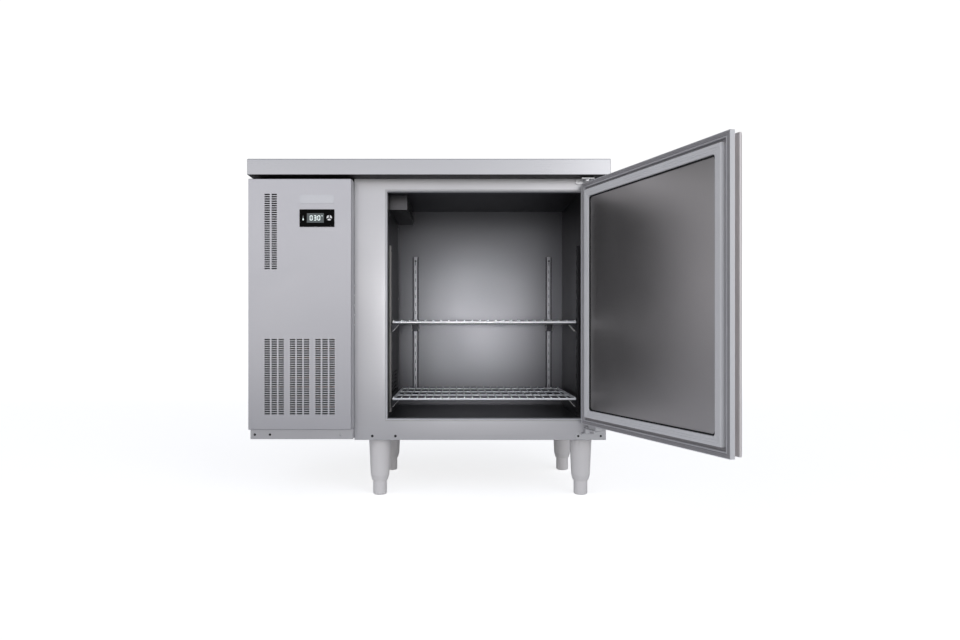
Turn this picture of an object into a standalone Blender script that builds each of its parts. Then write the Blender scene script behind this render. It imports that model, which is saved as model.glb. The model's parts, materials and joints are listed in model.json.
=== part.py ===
"""One-door undercounter refrigerator with a side machine compartment, open door shown.

Metres, +Z up. The origin is the centre of the worktop's top face: +X is the right-hand
side seen from the front, +Y points to the back, and the floor is at z = -HEIGHT.
"""

import math

import bmesh
import bpy
from mathutils import Matrix, Vector

# Overall size
WIDTH = 0.900
DEPTH = 0.450
HEIGHT = 0.850
GAP = 0.0003  # between pieces that touch

# Worktop
WORKTOP_HEIGHT = 0.0388
WORKTOP_SHEET = 0.0012
WORKTOP_BOTTOM = -WORKTOP_HEIGHT

# Insulated cabinet
SHEET = 0.0008
END_INSET = 0.002
LEG_HEIGHT = 0.147
CABINET_WIDTH = 0.6395
CABINET_RIGHT = WIDTH / 2 - END_INSET
CABINET_LEFT = CABINET_RIGHT - CABINET_WIDTH
CABINET_FRONT = -0.175
CABINET_BACK = DEPTH / 2
CABINET_TOP = WORKTOP_BOTTOM - GAP
CABINET_BOTTOM = LEG_HEIGHT - HEIGHT

# Door opening and the cavity behind it
OPENING_LEFT = CABINET_LEFT + 0.0835
OPENING_RIGHT = CABINET_RIGHT - 0.061
OPENING_BOTTOM = CABINET_BOTTOM + 0.0537
OPENING_TOP = -0.0715
STRIP_WIDTH = 0.004
STRIP_DEPTH = 0.0197
CAVITY_FRONT = CABINET_FRONT + 0.020
CAVITY_BACK = 0.165
CAVITY_TOP = OPENING_TOP + 0.005
POCKET_LEFT = OPENING_LEFT - 0.046
POCKET_FRONT = -0.140

# Machine compartment at the left end
MACHINE_LEFT = -WIDTH / 2 + 0.0012
MACHINE_RIGHT = CABINET_LEFT - GAP
COVER_RIGHT = CABINET_LEFT - 0.002
COVER_FRONT = -0.218
COVER_BACK = -0.1758
COVER_TOP = -0.0479
COVER_BOTTOM = -0.6711
PANEL = 0.001
BASE_BOTTOM = -0.697
BASE_TOP = -0.6715
BASE_FRONT = -0.2015
BASE_SHEET = 0.0015
PANEL_BOTTOM = BASE_TOP + GAP
BACK_PANEL_Y = 0.204

# Grilles in the machine cover: each slot is one row of a group
SLOT_HEIGHT = 0.0028
SLOT_ROWS = 34
SLOT_PITCH = 0.00557
GROUP_PITCH = 0.063
GROUP_WIDTH = 0.0482
HALF_GROUP_WIDTH = 0.0307
LOWER_GRILLE_BOTTOM = -0.6311
UPPER_GRILLE_BOTTOM = -0.271

# Controller
BEZEL_X = (-0.3210, -0.2349)
BEZEL_Z = (-0.1677, -0.1243)
BEZEL_FLANGE = 0.002
BEZEL_LIP = 0.002
BEZEL_BACK = -0.190
WINDOW_X = (-0.3031, -0.2604)
WINDOW_Z = (-0.1578, -0.1337)
WINDOW_DEPTH = 0.0018
BUTTON_X = -0.2470
BUTTON_Z = -0.1456
BUTTON_RADIUS = 0.0078
BUTTON_TRAVEL = 0.0015

# Door, given where it is when closed, and its hinge line
DOOR_LEFT = -0.1210
DOOR_RIGHT = 0.3996
DOOR_BOTTOM = -0.6595
DOOR_TOP = -0.0560
SEAL_Y = CABINET_FRONT - 0.0005
DOOR_THICKNESS = 0.042
DOOR_FRONT = SEAL_Y - DOOR_THICKNESS
GASKET_WIDTH = 0.0125
GASKET_THICKNESS = 0.011
GASKET_BACK = SEAL_Y - GASKET_THICKNESS
FRAME_STEP = 0.023
FRAME_INNER = 0.040
SKIN_INSET = 0.003
HANDLE_WIDTH = 0.022
GROOVE_DEPTH = 0.015
GROOVE_FRONT = 0.022
LIP_FRONT = 0.026
HANDLE_BEVEL = 0.016
PIVOT_X = 0.3976
PIVOT_Y = -0.1913
OPEN_ANGLE = math.radians(110.8)

# Hinges
PIN_RADIUS = 0.004
PIN_BORE = 0.0043
BOSS_RADIUS = 0.0075
TONGUE_RADIUS = 0.009
HINGE_PLATE = 0.003
BRACKET_PLATE_FRONT = -0.1788
BRACKET_PLATE_BACK = CABINET_FRONT - GAP
BRACKET_X = (0.3695, 0.4475)
BRACKET_ARM_X = (0.382, 0.413)
BRACKET_ARM_FRONT = -0.203
BLOCK_X = (0.352, 0.386)
BLOCK_BACK = -0.187

# Shelves, their standards and clips
SHELF_LEFT = OPENING_LEFT + 0.012
SHELF_RIGHT = OPENING_RIGHT - 0.013
SHELF_FRONT = -0.165
SHELF_BACK = 0.150
SHELF_ROD = 0.006
SHELF_WIRE = 0.003
SHELF_WIRES = 24
SHELF_RODS = 4
CLIP_TOPS = {"upper": -0.4070, "lower": -0.6033}
CLIP_WIDTH = 0.021
CLIP_HEIGHT = 0.021
CLIP_DEPTH = 0.0185
STANDARD_WIDTH = 0.018
STANDARD_DEPTH = 0.006
STANDARD_WALL = 0.0012
STANDARD_BOTTOM = -0.637
STANDARD_TOP = -0.204
STANDARD_SLOTS = 8
STANDARD_SLOT_START = 0.025
STANDARD_SLOT_PITCH = 0.050
STANDARD_SLOT_HEIGHT = 0.012
STANDARD_Y = -0.125
STANDARD_X = (-0.0554, 0.3464)

# Legs
LEG_X = (-0.131, 0.391)
LEG_Y = (-0.130, 0.190)
SLEEVE_RADII = (0.0285, 0.024, 0.0202)
SLEEVE_SHOULDER = -0.799
SLEEVE_BOTTOM = -0.8126
BORE_TOP = -0.725
STEM_TOP = -0.740
FOOT_RADIUS = 0.0178
FOOT_EDGE = 0.005
STEM_RADIUS = 0.008
STEM_BORE = 0.0085

# Evaporator cover and the fan box at the top of it
LOUVRE_ROWS = 6
LOUVRE_Y = (-0.129, 0.101)
LOUVRE_BOTTOM = -0.5955
LOUVRE_PITCH = 0.0103
LOUVRE_HEIGHT = 0.004
DUCT_HOLE_Y = (-0.095, 0.155)
DUCT_HOLE_Z = (-0.103, -0.072)
FAN_BOX_RIGHT = -0.062
FAN_BOX_FRONT = -0.104
FAN_BOX_BOTTOM = -0.1065
OUTLETS = 5
OUTLET_START = -0.090
OUTLET_PITCH = 0.050
OUTLET_WIDTH = 0.036
OUTLET_Z = (-0.096, -0.082)

# Refrigeration
FIN_THICKNESS = 0.002
FIN_SPINE = 0.003
CONDENSER_X = (-0.440, -0.205)
CONDENSER_Y = (-0.165, -0.110)
CONDENSER_Z = (-0.660, -0.430)
SHROUD_Y = (CONDENSER_Y[1] + GAP, -0.068)
FAN_CENTRE = (sum(CONDENSER_X) / 2, -0.093, sum(CONDENSER_Z) / 2)
FAN_HOLE = 0.095
COMPRESSOR_CENTRE = (-0.330, 0.102)
COMPRESSOR_TOP = -0.520
COMPRESSOR_RADIUS = 0.072
COMPRESSOR_FOOT = (0.195, 0.140)
COOLING_MOTOR_RADIUS = 0.024
COOLING_MOTOR_FRONT = -0.136
COOLING_SHAFT_END = -0.118
CONDENSER_MOTOR_RADIUS = 0.032
CONDENSER_MOTOR_BACK = -0.008
CONDENSER_SHAFT_END = -0.086
SHAFT_RADIUS = 0.003
HUB_BORE = 0.0036
BLADE_THICKNESS = 0.0016
BLADE_PITCH = (34, 24)  # degrees at the root and at the tip
CONTROL_BOX_WIDTH = 0.058
CONTROL_BOX_Y = (-0.100, 0.060)
CONTROL_BOX_Z = (-0.300, -0.140)
PAN_Y = (-0.055, 0.015)
PAN_HEIGHT = 0.035
VENT_COLUMNS = (-0.425, -0.310)
VENT_WIDTH = 0.090
VENT_HEIGHT = 0.005
VENT_ROWS = 8
VENT_BOTTOM = -0.500
VENT_PITCH = 0.030
EVAPORATOR_X = (-0.150, -0.116)
EVAPORATOR_Y = (-0.120, 0.140)
EVAPORATOR_Z = (-0.600, -0.330)
COOLING_FAN_CENTRE = (-0.124, 0.030, -0.190)
PIPE_RADIUS = 0.004
PIPE_BORE = 0.0055
PIPE_HEIGHT = -0.300
GLAND_X = -0.400
GLAND_Z = -0.620
GLAND_HOLE = 0.0085
GLAND_BORE = 0.0035
GLAND_BODY = 0.008
GLAND_NUT = 0.0115
GLAND_CAP = 0.009
GLAND_FRONT = 0.190

# name: (colour, roughness, metallic)
FINISHES = {
    "stainless": ((0.60, 0.61, 0.63), 0.38, 1.0),
    "galvanised": ((0.50, 0.51, 0.52), 0.50, 1.0),
    "copper": ((0.72, 0.42, 0.28), 0.35, 1.0),
    "aluminium": ((0.70, 0.71, 0.72), 0.40, 1.0),
    "black_enamel": ((0.03, 0.03, 0.03), 0.45, 0.0),
    "black_plastic": ((0.02, 0.02, 0.02), 0.35, 0.0),
    "grey_plastic": ((0.62, 0.62, 0.61), 0.50, 0.0),
    "leg_plastic": ((0.58, 0.58, 0.57), 0.45, 0.0),
    "white_plastic": ((0.85, 0.85, 0.84), 0.40, 0.0),
    "gasket_rubber": ((0.66, 0.66, 0.67), 0.60, 0.0),
    "display_glass": ((0.30, 0.33, 0.36), 0.15, 0.0),
    "insulation": ((0.85, 0.80, 0.60), 0.90, 0.0),
    "plywood": ((0.62, 0.46, 0.28), 0.75, 0.0),
}


def clear_scene():
    """Remove every object of the open file."""
    for thing in list(bpy.data.objects):
        bpy.data.objects.remove(thing, do_unlink=True)


def make_material(name):
    """A Principled material for one finish."""
    colour, roughness, metallic = FINISHES[name]
    finish = bpy.data.materials.get(name) or bpy.data.materials.new(name)
    finish.use_nodes = True
    shader = next(node for node in finish.node_tree.nodes if node.type == "BSDF_PRINCIPLED")
    shader.inputs["Base Color"].default_value = (*colour, 1.0)
    shader.inputs["Roughness"].default_value = roughness
    shader.inputs["Metallic"].default_value = metallic
    return finish


def finished_mesh(bm, smooth=False):
    """Turn a bmesh into mesh data with its faces pointing out."""
    bmesh.ops.recalc_face_normals(bm, faces=bm.faces)
    mesh = bpy.data.meshes.new("shape")
    bm.to_mesh(mesh)
    bm.free()
    if smooth:
        mesh.shade_smooth()
        mesh.set_sharp_from_angle(angle=math.radians(40))
    return mesh


def boxes(*corners):
    """One mesh of axis-aligned boxes, each ((x0, x1), (y0, y1), (z0, z1))."""
    bm = bmesh.new()
    for x_range, y_range, z_range in corners:
        size = Vector((x_range[1] - x_range[0], y_range[1] - y_range[0], z_range[1] - z_range[0]))
        middle = Vector((sum(x_range), sum(y_range), sum(z_range))) / 2
        matrix = Matrix.Translation(middle) @ Matrix.Diagonal((*size, 1.0))
        bmesh.ops.create_cube(bm, size=1.0, matrix=matrix)
    return finished_mesh(bm)


def extruded(points, along):
    """A prism: a flat outline of 3-D points, swept along one vector."""
    bm = bmesh.new()
    near = [bm.verts.new(point) for point in points]
    face = bm.faces.new(near)
    swept = bmesh.ops.extrude_face_region(bm, geom=[face], use_keep_orig=True)
    moved = [item for item in swept["geom"] if isinstance(item, bmesh.types.BMVert)]
    bmesh.ops.translate(bm, vec=Vector(along), verts=moved)
    return finished_mesh(bm)


def turned(profile, centre, axis="Z", sides=20, ring=False):
    """A turned body: (radius, distance) pairs spun about an axis through centre.

    The profile starts and ends on the axis, or closes on itself if ring is set.
    """
    bm = bmesh.new()
    loops = []
    for radius, distance in profile:
        if radius == 0:
            loops.append([bm.verts.new((0, 0, distance))])
            continue
        angles = [2 * math.pi * step / sides for step in range(sides)]
        loops.append([bm.verts.new((radius * math.cos(a), radius * math.sin(a), distance)) for a in angles])
    pairs = list(zip(loops, loops[1:] + loops[:1])) if ring else list(zip(loops, loops[1:]))
    for lower, upper in pairs:
        for step in range(sides):
            after = (step + 1) % sides
            if len(lower) == 1:
                bm.faces.new((lower[0], upper[step], upper[after]))
            elif len(upper) == 1:
                bm.faces.new((lower[step], lower[after], upper[0]))
            else:
                bm.faces.new((lower[step], lower[after], upper[after], upper[step]))
    turn = {
        "Z": Matrix(),
        "Y": Matrix.Rotation(-math.pi / 2, 4, "X"),
        "X": Matrix.Rotation(math.pi / 2, 4, "Y"),
    }
    bmesh.ops.transform(bm, matrix=Matrix.Translation(centre) @ turn[axis], verts=bm.verts)
    return finished_mesh(bm, smooth=True)


def rod(radius, start, end, centre, axis="Z", sides=16):
    """A plain round rod between two distances along its axis."""
    return turned([(0, start), (radius, start), (radius, end), (0, end)], centre, axis, sides)


def rectangle_frame(x_range, z_range, section):
    """A mitred frame in the XZ plane; section is a closed list of (inset, y)."""
    bm = bmesh.new()
    corners = []
    for side_x, side_z in ((0, 0), (1, 0), (1, 1), (0, 1)):
        signs = (1 - 2 * side_x, 1 - 2 * side_z)
        ring = []
        for inset, y in section:
            ring.append((x_range[side_x] + signs[0] * inset, y, z_range[side_z] + signs[1] * inset))
        corners.append([bm.verts.new(point) for point in ring])
    for here, there in zip(corners, corners[1:] + corners[:1]):
        for step in range(len(section)):
            after = (step + 1) % len(section)
            bm.faces.new((here[step], here[after], there[after], there[step]))
    return finished_mesh(bm)


def placed(name, mesh, origin, parent):
    """Link a mesh drawn in the closed, assembled position as an object with this origin."""
    mesh.name = name
    mesh.transform(Matrix.Translation(-Vector(origin)))
    body = bpy.data.objects.new(name, mesh)
    bpy.context.scene.collection.objects.link(body)
    if parent:
        body.parent = parent
    else:
        body.location = origin
    return body


def solid(name, mesh, finish, origin=(0, 0, 0), parent=None, joins=(), cuts=()):
    """Make one named sub-part, with shapes joined to it and then cut from it."""
    body = placed(name, mesh, origin, parent)
    mesh.materials.append(make_material(finish))
    for operation, shapes in (("UNION", joins), ("DIFFERENCE", cuts)):
        for number, shape in enumerate(shapes):
            tool = placed(f"{name}_{operation.lower()}_{number}", shape, origin, parent)
            tool.hide_render = True
            tool.display_type = "WIRE"
            boolean = body.modifiers.new(tool.name, "BOOLEAN")
            boolean.operation = operation
            boolean.solver = "EXACT"
            boolean.object = tool
    return body


def grown(ranges, amount):
    """The same box, larger by amount on every side."""
    return tuple((low - amount, high + amount) for low, high in ranges)


def wall_bore(radius=PIPE_BORE):
    """The hole that the suction pipe takes through the cabinet's left wall."""
    centre = (0, COMPRESSOR_CENTRE[1], PIPE_HEIGHT)
    return rod(radius, CABINET_LEFT - 0.01, POCKET_LEFT + 0.004, centre, "X", 12)


def make_worktop():
    """Folded sheet tray with a board inside it."""
    outer = ((-WIDTH / 2, WIDTH / 2), (-DEPTH / 2, DEPTH / 2), (WORKTOP_BOTTOM, 0))
    (x0, x1), (y0, y1), _ = grown(outer, -WORKTOP_SHEET)
    hollow = boxes(((x0, x1), (y0, y1), (WORKTOP_BOTTOM - 0.01, -WORKTOP_SHEET)))
    solid("worktop", boxes(outer), "stainless", cuts=[hollow])
    core = ((x0 + GAP, x1 - GAP), (y0 + GAP, y1 - GAP), (WORKTOP_BOTTOM, -WORKTOP_SHEET - GAP))
    solid("worktop_core", boxes(core), "plywood")


def make_cabinet():
    """Outer skin, foam, breaker strip and inner liner."""
    outer = ((CABINET_LEFT, CABINET_RIGHT), (CABINET_FRONT, CABINET_BACK), (CABINET_BOTTOM, CABINET_TOP))
    opening_x = (OPENING_LEFT, OPENING_RIGHT)
    opening_z = (OPENING_BOTTOM, OPENING_TOP)
    strip_hole_x = (OPENING_LEFT - STRIP_WIDTH - GAP, OPENING_RIGHT + STRIP_WIDTH + GAP)
    strip_hole_z = (OPENING_BOTTOM - STRIP_WIDTH - GAP, OPENING_TOP + STRIP_WIDTH + GAP)
    front_hole = (strip_hole_x, (CABINET_FRONT - 0.02, CAVITY_FRONT + 0.0005), strip_hole_z)
    solid(
        "outer_shell",
        boxes(outer),
        "stainless",
        cuts=[boxes(grown(outer, -SHEET)), boxes(front_hole), wall_bore()],
    )
    strip_front = CABINET_FRONT - 0.0002
    strip = [
        (-STRIP_WIDTH, strip_front),
        (0, strip_front),
        (0, strip_front + STRIP_DEPTH),
        (-STRIP_WIDTH, strip_front + STRIP_DEPTH),
    ]
    solid("breaker_strip", rectangle_frame(opening_x, opening_z, strip), "grey_plastic")
    cavity = (opening_x, (CAVITY_FRONT + SHEET, CAVITY_BACK), (OPENING_BOTTOM, CAVITY_TOP))
    pocket = ((POCKET_LEFT, OPENING_LEFT + 0.01), (POCKET_FRONT, CAVITY_BACK), (OPENING_BOTTOM, CAVITY_TOP))
    way_in = (opening_x, (CAVITY_FRONT - 0.01, CAVITY_FRONT + 0.01), opening_z)
    solid(
        "inner_liner",
        boxes(grown(cavity, SHEET)),
        "stainless",
        joins=[boxes(grown(pocket, SHEET))],
        cuts=[boxes(cavity), boxes(pocket), boxes(way_in), wall_bore()],
    )
    solid(
        "insulation_foam",
        boxes(grown(outer, -SHEET - GAP)),
        "insulation",
        cuts=[
            boxes(front_hole),
            boxes(grown(cavity, SHEET + GAP)),
            boxes(grown(pocket, SHEET + GAP)),
            wall_bore(),
        ],
    )


def comb(fins, fin_thickness, spine, span, reach):
    """Outline of fins hanging from one spine: (along, out) points from out = 0."""
    start, end = span
    pitch = (end - start - fin_thickness) / (fins - 1)
    points = [(end, 0), (start, 0)]
    for fin in range(fins):
        left = start + fin * pitch
        points += [(left, reach), (left + fin_thickness, reach)]
        if fin < fins - 1:
            points += [(left + fin_thickness, spine), (left + pitch, spine)]
    return points


def fan_wheel(name, centre, axis, finish, hub_radius, tip_radius, depth, count):
    """A hub on its shaft with pitched blades."""
    half = depth / 2
    profile = [(HUB_BORE, -half), (hub_radius, -half), (hub_radius, half), (HUB_BORE, half)]
    hub = turned(profile, centre, axis, 20, ring=True)
    bm = bmesh.new()
    for blade in range(count):
        plate = bmesh.ops.create_cube(bm, size=1.0)["verts"]
        root = hub_radius * 0.7
        root_chord = hub_radius * 0.9
        tip_chord = tip_radius * 0.62
        for vert in plate:
            radius = tip_radius if vert.co.x > 0 else root
            chord = tip_chord if vert.co.x > 0 else root_chord
            pitch = math.radians(BLADE_PITCH[1] if vert.co.x > 0 else BLADE_PITCH[0])
            along = vert.co.y * chord
            through = vert.co.z * BLADE_THICKNESS
            vert.co = Vector((
                radius,
                along * math.cos(pitch) - through * math.sin(pitch),
                along * math.sin(pitch) + through * math.cos(pitch),
            ))
        turn = Matrix.Rotation(2 * math.pi * blade / count, 4, "Z")
        bmesh.ops.transform(bm, matrix=turn, verts=plate)
    if axis == "Y":
        facing = Matrix.Rotation(-math.pi / 2, 4, "X")
    else:
        facing = Matrix.Rotation(math.pi / 2, 4, "Y")
    bmesh.ops.transform(bm, matrix=Matrix.Translation(centre) @ facing, verts=bm.verts)
    solid(name, hub, finish, origin=centre, joins=[finished_mesh(bm)])


def make_cooling_side():
    """Evaporator pocket: louvred cover, duct box, coil and circulation fan."""
    cover = ((OPENING_LEFT - PANEL, OPENING_LEFT), (POCKET_FRONT + GAP, CAVITY_BACK - GAP),
             (OPENING_BOTTOM + GAP, CAVITY_TOP - GAP))
    wide = (OPENING_LEFT - 0.01, OPENING_LEFT + 0.01)
    louvres = []
    for row in range(LOUVRE_ROWS):
        low = LOUVRE_BOTTOM + row * LOUVRE_PITCH
        louvres.append((wide, LOUVRE_Y, (low, low + LOUVRE_HEIGHT)))
    duct_hole = (wide, DUCT_HOLE_Y, DUCT_HOLE_Z)
    solid("evaporator_cover", boxes(cover), "stainless", cuts=[boxes(*louvres, duct_hole)])

    duct = (
        (OPENING_LEFT + GAP, FAN_BOX_RIGHT),
        (FAN_BOX_FRONT, CAVITY_BACK - GAP),
        (FAN_BOX_BOTTOM, CAVITY_TOP - GAP),
    )
    (_, x1), (y0, y1), (z0, z1) = grown(duct, -PANEL)
    inside = ((OPENING_LEFT - 0.01, x1), (y0, y1), (z0, z1))
    outlets = []
    for outlet in range(OUTLETS):
        start = OUTLET_START + outlet * OUTLET_PITCH
        through = (FAN_BOX_RIGHT - 0.008, FAN_BOX_RIGHT + 0.012)
        outlets.append((through, (start, start + OUTLET_WIDTH), OUTLET_Z))
    solid("fan_box", boxes(duct), "stainless", cuts=[boxes(inside), boxes(*outlets)])

    fins = comb(20, FIN_THICKNESS, FIN_SPINE, EVAPORATOR_Y, EVAPORATOR_X[1] - EVAPORATOR_X[0])
    outline = [(EVAPORATOR_X[0] + out, along, EVAPORATOR_Z[0]) for along, out in fins]
    height = EVAPORATOR_Z[1] - EVAPORATOR_Z[0]
    solid("evaporator_coil", extruded(outline, (0, 0, height)), "aluminium")

    x, y, z = COOLING_FAN_CENTRE
    motor_back = POCKET_LEFT + GAP
    profile = [
        (0, motor_back),
        (COOLING_MOTOR_RADIUS, motor_back),
        (COOLING_MOTOR_RADIUS, COOLING_MOTOR_FRONT),
        (SHAFT_RADIUS, COOLING_MOTOR_FRONT),
        (SHAFT_RADIUS, COOLING_SHAFT_END),
        (0, COOLING_SHAFT_END),
    ]
    solid("evaporator_fan_motor", turned(profile, (0, y, z), "X"), "black_enamel")
    fan_wheel("evaporator_fan_blade", COOLING_FAN_CENTRE, "X", "black_plastic", 0.014, 0.045, 0.012, 5)


def facing_points(origin, facing, outline):
    """Map (across, out, z) points to world ones, out pointing along facing."""
    forward = Vector((*facing, 0))
    across = Vector((-facing[1], facing[0], 0))
    base = Vector((*origin, 0))
    return [base + across * a + forward * o + Vector((0, 0, z)) for a, o, z in outline]


def make_shelf_supports():
    """Four slotted standards, each with a clip for each shelf."""
    places = {
        "rear_left": ((STANDARD_X[0], CAVITY_BACK - GAP), (0, -1)),
        "rear_right": ((STANDARD_X[1], CAVITY_BACK - GAP), (0, -1)),
        "front_left": ((OPENING_LEFT + GAP, STANDARD_Y), (1, 0)),
        "front_right": ((OPENING_RIGHT - GAP, STANDARD_Y), (-1, 0)),
    }
    half = STANDARD_WIDTH / 2
    inner = half - STANDARD_WALL
    depth = STANDARD_DEPTH
    channel = [(-half, 0), (-half, depth), (half, depth), (half, 0), (inner, 0),
               (inner, depth - STANDARD_WALL), (-inner, depth - STANDARD_WALL), (-inner, 0)]
    for place, (origin, facing) in places.items():
        section = facing_points(origin, facing, [(a, o, STANDARD_BOTTOM) for a, o in channel])
        bar = extruded(section, (0, 0, STANDARD_TOP - STANDARD_BOTTOM))
        slots = []
        for slot in range(STANDARD_SLOTS):
            z = STANDARD_BOTTOM + STANDARD_SLOT_START + slot * STANDARD_SLOT_PITCH
            near = (-0.003, depth - 0.003, z)
            far = (0.003, depth + 0.003, z + STANDARD_SLOT_HEIGHT)
            low, high = facing_points(origin, facing, [near, far])
            slots.append(tuple(tuple(sorted((low[i], high[i]))) for i in range(3)))
        solid(f"shelf_standard_{place}", bar, "stainless", cuts=[boxes(*slots)])
        for level, top in CLIP_TOPS.items():
            start = depth + GAP
            gusset = [
                (-CLIP_WIDTH / 2, start, top),
                (-CLIP_WIDTH / 2, start + CLIP_DEPTH, top),
                (-CLIP_WIDTH / 2, start + CLIP_DEPTH, top - 0.003),
                (-CLIP_WIDTH / 2, start, top - CLIP_HEIGHT),
            ]
            width = Vector((-facing[1], facing[0], 0)) * CLIP_WIDTH
            shape = extruded(facing_points(origin, facing, gusset), width)
            solid(f"{level}_clip_{place}", shape, "stainless")


def lattice(x_edges, y_edges, z_range):
    """A flat grid of bars: every other strip between the edges is a bar, the rest is open."""
    bm = bmesh.new()
    grid = [[bm.verts.new((x, y, z_range[0])) for y in y_edges] for x in x_edges]
    for i in range(len(x_edges) - 1):
        for j in range(len(y_edges) - 1):
            if i % 2 == 0 or j % 2 == 0:
                bm.faces.new((grid[i][j], grid[i + 1][j], grid[i + 1][j + 1], grid[i][j + 1]))
    swept = bmesh.ops.extrude_face_region(bm, geom=bm.faces[:], use_keep_orig=True)
    moved = [item for item in swept["geom"] if isinstance(item, bmesh.types.BMVert)]
    bmesh.ops.translate(bm, vec=(0, 0, z_range[1] - z_range[0]), verts=moved)
    return finished_mesh(bm)


def bar_edges(start, end, end_bar, bar, count):
    """Edges of evenly spaced bars between start and end, the first and last of them end_bar wide."""
    pitch = (end - start - end_bar) / (count - 1)
    edges = []
    for number in range(count):
        width = end_bar if number in (0, count - 1) else bar
        middle = start + end_bar / 2 + number * pitch
        edges += [middle - width / 2, middle + width / 2]
    return edges


def make_shelves():
    """Two wire shelves that lift off their clips."""
    x_edges = bar_edges(SHELF_LEFT, SHELF_RIGHT, SHELF_ROD, SHELF_WIRE, SHELF_WIRES)
    y_edges = bar_edges(SHELF_FRONT, SHELF_BACK, SHELF_ROD, SHELF_ROD, SHELF_RODS)
    for level, top in CLIP_TOPS.items():
        z_range = (top + GAP, top + GAP + SHELF_ROD)
        origin = ((SHELF_LEFT + SHELF_RIGHT) / 2, (SHELF_FRONT + SHELF_BACK) / 2, z_range[0])
        solid(f"{level}_shelf", lattice(x_edges, y_edges, z_range), "stainless", origin=origin)


def grille_slots():
    """Cutting boxes of the cover's two grilles."""
    through = (COVER_FRONT - 0.01, COVER_FRONT + 0.01)
    middle = (MACHINE_LEFT + COVER_RIGHT) / 2
    slots = []
    for row in range(SLOT_ROWS):
        rise = row * SLOT_PITCH - SLOT_HEIGHT / 2
        for group in (-1, 0, 1):
            x0 = middle + group * GROUP_PITCH - GROUP_WIDTH / 2
            low = LOWER_GRILLE_BOTTOM + rise
            slots.append(((x0, x0 + GROUP_WIDTH), through, (low, low + SLOT_HEIGHT)))
        x0 = middle - GROUP_PITCH - GROUP_WIDTH / 2
        low = UPPER_GRILLE_BOTTOM + rise
        slots.append(((x0, x0 + HALF_GROUP_WIDTH), through, (low, low + SLOT_HEIGHT)))
    return slots


def make_machine_casing():
    """Base tray, side and back panels and the front cover of the machine compartment."""
    tray = ((MACHINE_LEFT + 0.0008, MACHINE_RIGHT), (BASE_FRONT, DEPTH / 2 - GAP), (BASE_BOTTOM, BASE_TOP))
    (x0, x1), (y0, y1), (z0, _) = grown(tray, -BASE_SHEET)
    solid("machine_base", boxes(tray), "stainless", cuts=[boxes(((x0, x1), (y0, y1), (z0, BASE_TOP + 0.01)))])

    flange = 0.016
    front = COVER_BACK + GAP
    back = DEPTH / 2 - GAP
    left = MACHINE_LEFT
    c_section = [
        (left + flange, front),
        (left, front),
        (left, back),
        (left + flange, back),
        (left + flange, back - PANEL),
        (left + PANEL, back - PANEL),
        (left + PANEL, front + PANEL),
        (left + flange, front + PANEL),
    ]
    height = (0, 0, CABINET_TOP - PANEL_BOTTOM)
    side = extruded([(x, y, PANEL_BOTTOM) for x, y in c_section], height)
    solid("machine_side_panel", side, "stainless")

    left = MACHINE_LEFT + PANEL + GAP
    right = MACHINE_RIGHT
    back = DEPTH / 2 - PANEL - 2 * GAP
    u_section = [
        (left, back),
        (left, BACK_PANEL_Y),
        (right, BACK_PANEL_Y),
        (right, back),
        (right - PANEL, back),
        (right - PANEL, BACK_PANEL_Y + PANEL),
        (left + PANEL, BACK_PANEL_Y + PANEL),
        (left + PANEL, back),
    ]
    vents = []
    through = (BACK_PANEL_Y - 0.01, BACK_PANEL_Y + 0.01)
    for column in VENT_COLUMNS:
        for row in range(VENT_ROWS):
            low = VENT_BOTTOM + row * VENT_PITCH
            vents.append(((column, column + VENT_WIDTH), through, (low, low + VENT_HEIGHT)))
    cord_hole = rod(GLAND_HOLE, *through, (GLAND_X, 0, GLAND_Z), "Y", 16)
    panel = extruded([(x, y, PANEL_BOTTOM) for x, y in u_section], height)
    solid("machine_back_panel", panel, "galvanised", cuts=[boxes(*vents), cord_hole])

    cover = ((MACHINE_LEFT, COVER_RIGHT), (COVER_FRONT, COVER_BACK), (COVER_BOTTOM, COVER_TOP))
    (x0, x1), (y0, _), (z0, z1) = grown(cover, -PANEL)
    hollow = boxes(((x0, x1), (y0, COVER_BACK + 0.01), (z0, z1)))
    cut_out = ((BEZEL_X[0] + BEZEL_LIP - GAP, BEZEL_X[1] - BEZEL_LIP + GAP),
               (COVER_FRONT - 0.01, COVER_FRONT + 0.01),
               (BEZEL_Z[0] + BEZEL_LIP - GAP, BEZEL_Z[1] - BEZEL_LIP + GAP))
    solid("machine_cover", boxes(cover), "stainless", cuts=[hollow, boxes(*grille_slots(), cut_out)])


def make_controller():
    """Display bezel with its window and a set button."""
    front = COVER_FRONT - GAP - BEZEL_FLANGE
    flange = (BEZEL_X, (front, COVER_FRONT - GAP), BEZEL_Z)
    body = ((BEZEL_X[0] + BEZEL_LIP, BEZEL_X[1] - BEZEL_LIP), (front + BEZEL_FLANGE / 2, BEZEL_BACK),
            (BEZEL_Z[0] + BEZEL_LIP, BEZEL_Z[1] - BEZEL_LIP))
    recess = boxes((WINDOW_X, (front - 0.01, front + WINDOW_DEPTH), WINDOW_Z))
    button_bore = rod(BUTTON_RADIUS + GAP, front - 0.01, -0.206, (BUTTON_X, 0, BUTTON_Z), "Y", 24)
    solid("display_bezel", boxes(flange), "black_plastic", joins=[boxes(body)], cuts=[recess, button_bore])
    lens = grown((WINDOW_X, (front + GAP, front + WINDOW_DEPTH), WINDOW_Z), -GAP)
    solid("display_lens", boxes(lens), "display_glass")
    button_back = -0.206 - BUTTON_TRAVEL - 0.001
    proud = front - 0.001
    profile = [(0, proud), (0.0068, proud), (BUTTON_RADIUS, proud + 0.0008), (BUTTON_RADIUS, button_back),
               (0, button_back)]
    centre = (BUTTON_X, 0, BUTTON_Z)
    solid("set_button", turned(profile, centre, "Y", 24), "white_plastic", origin=(BUTTON_X, proud, BUTTON_Z))


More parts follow.
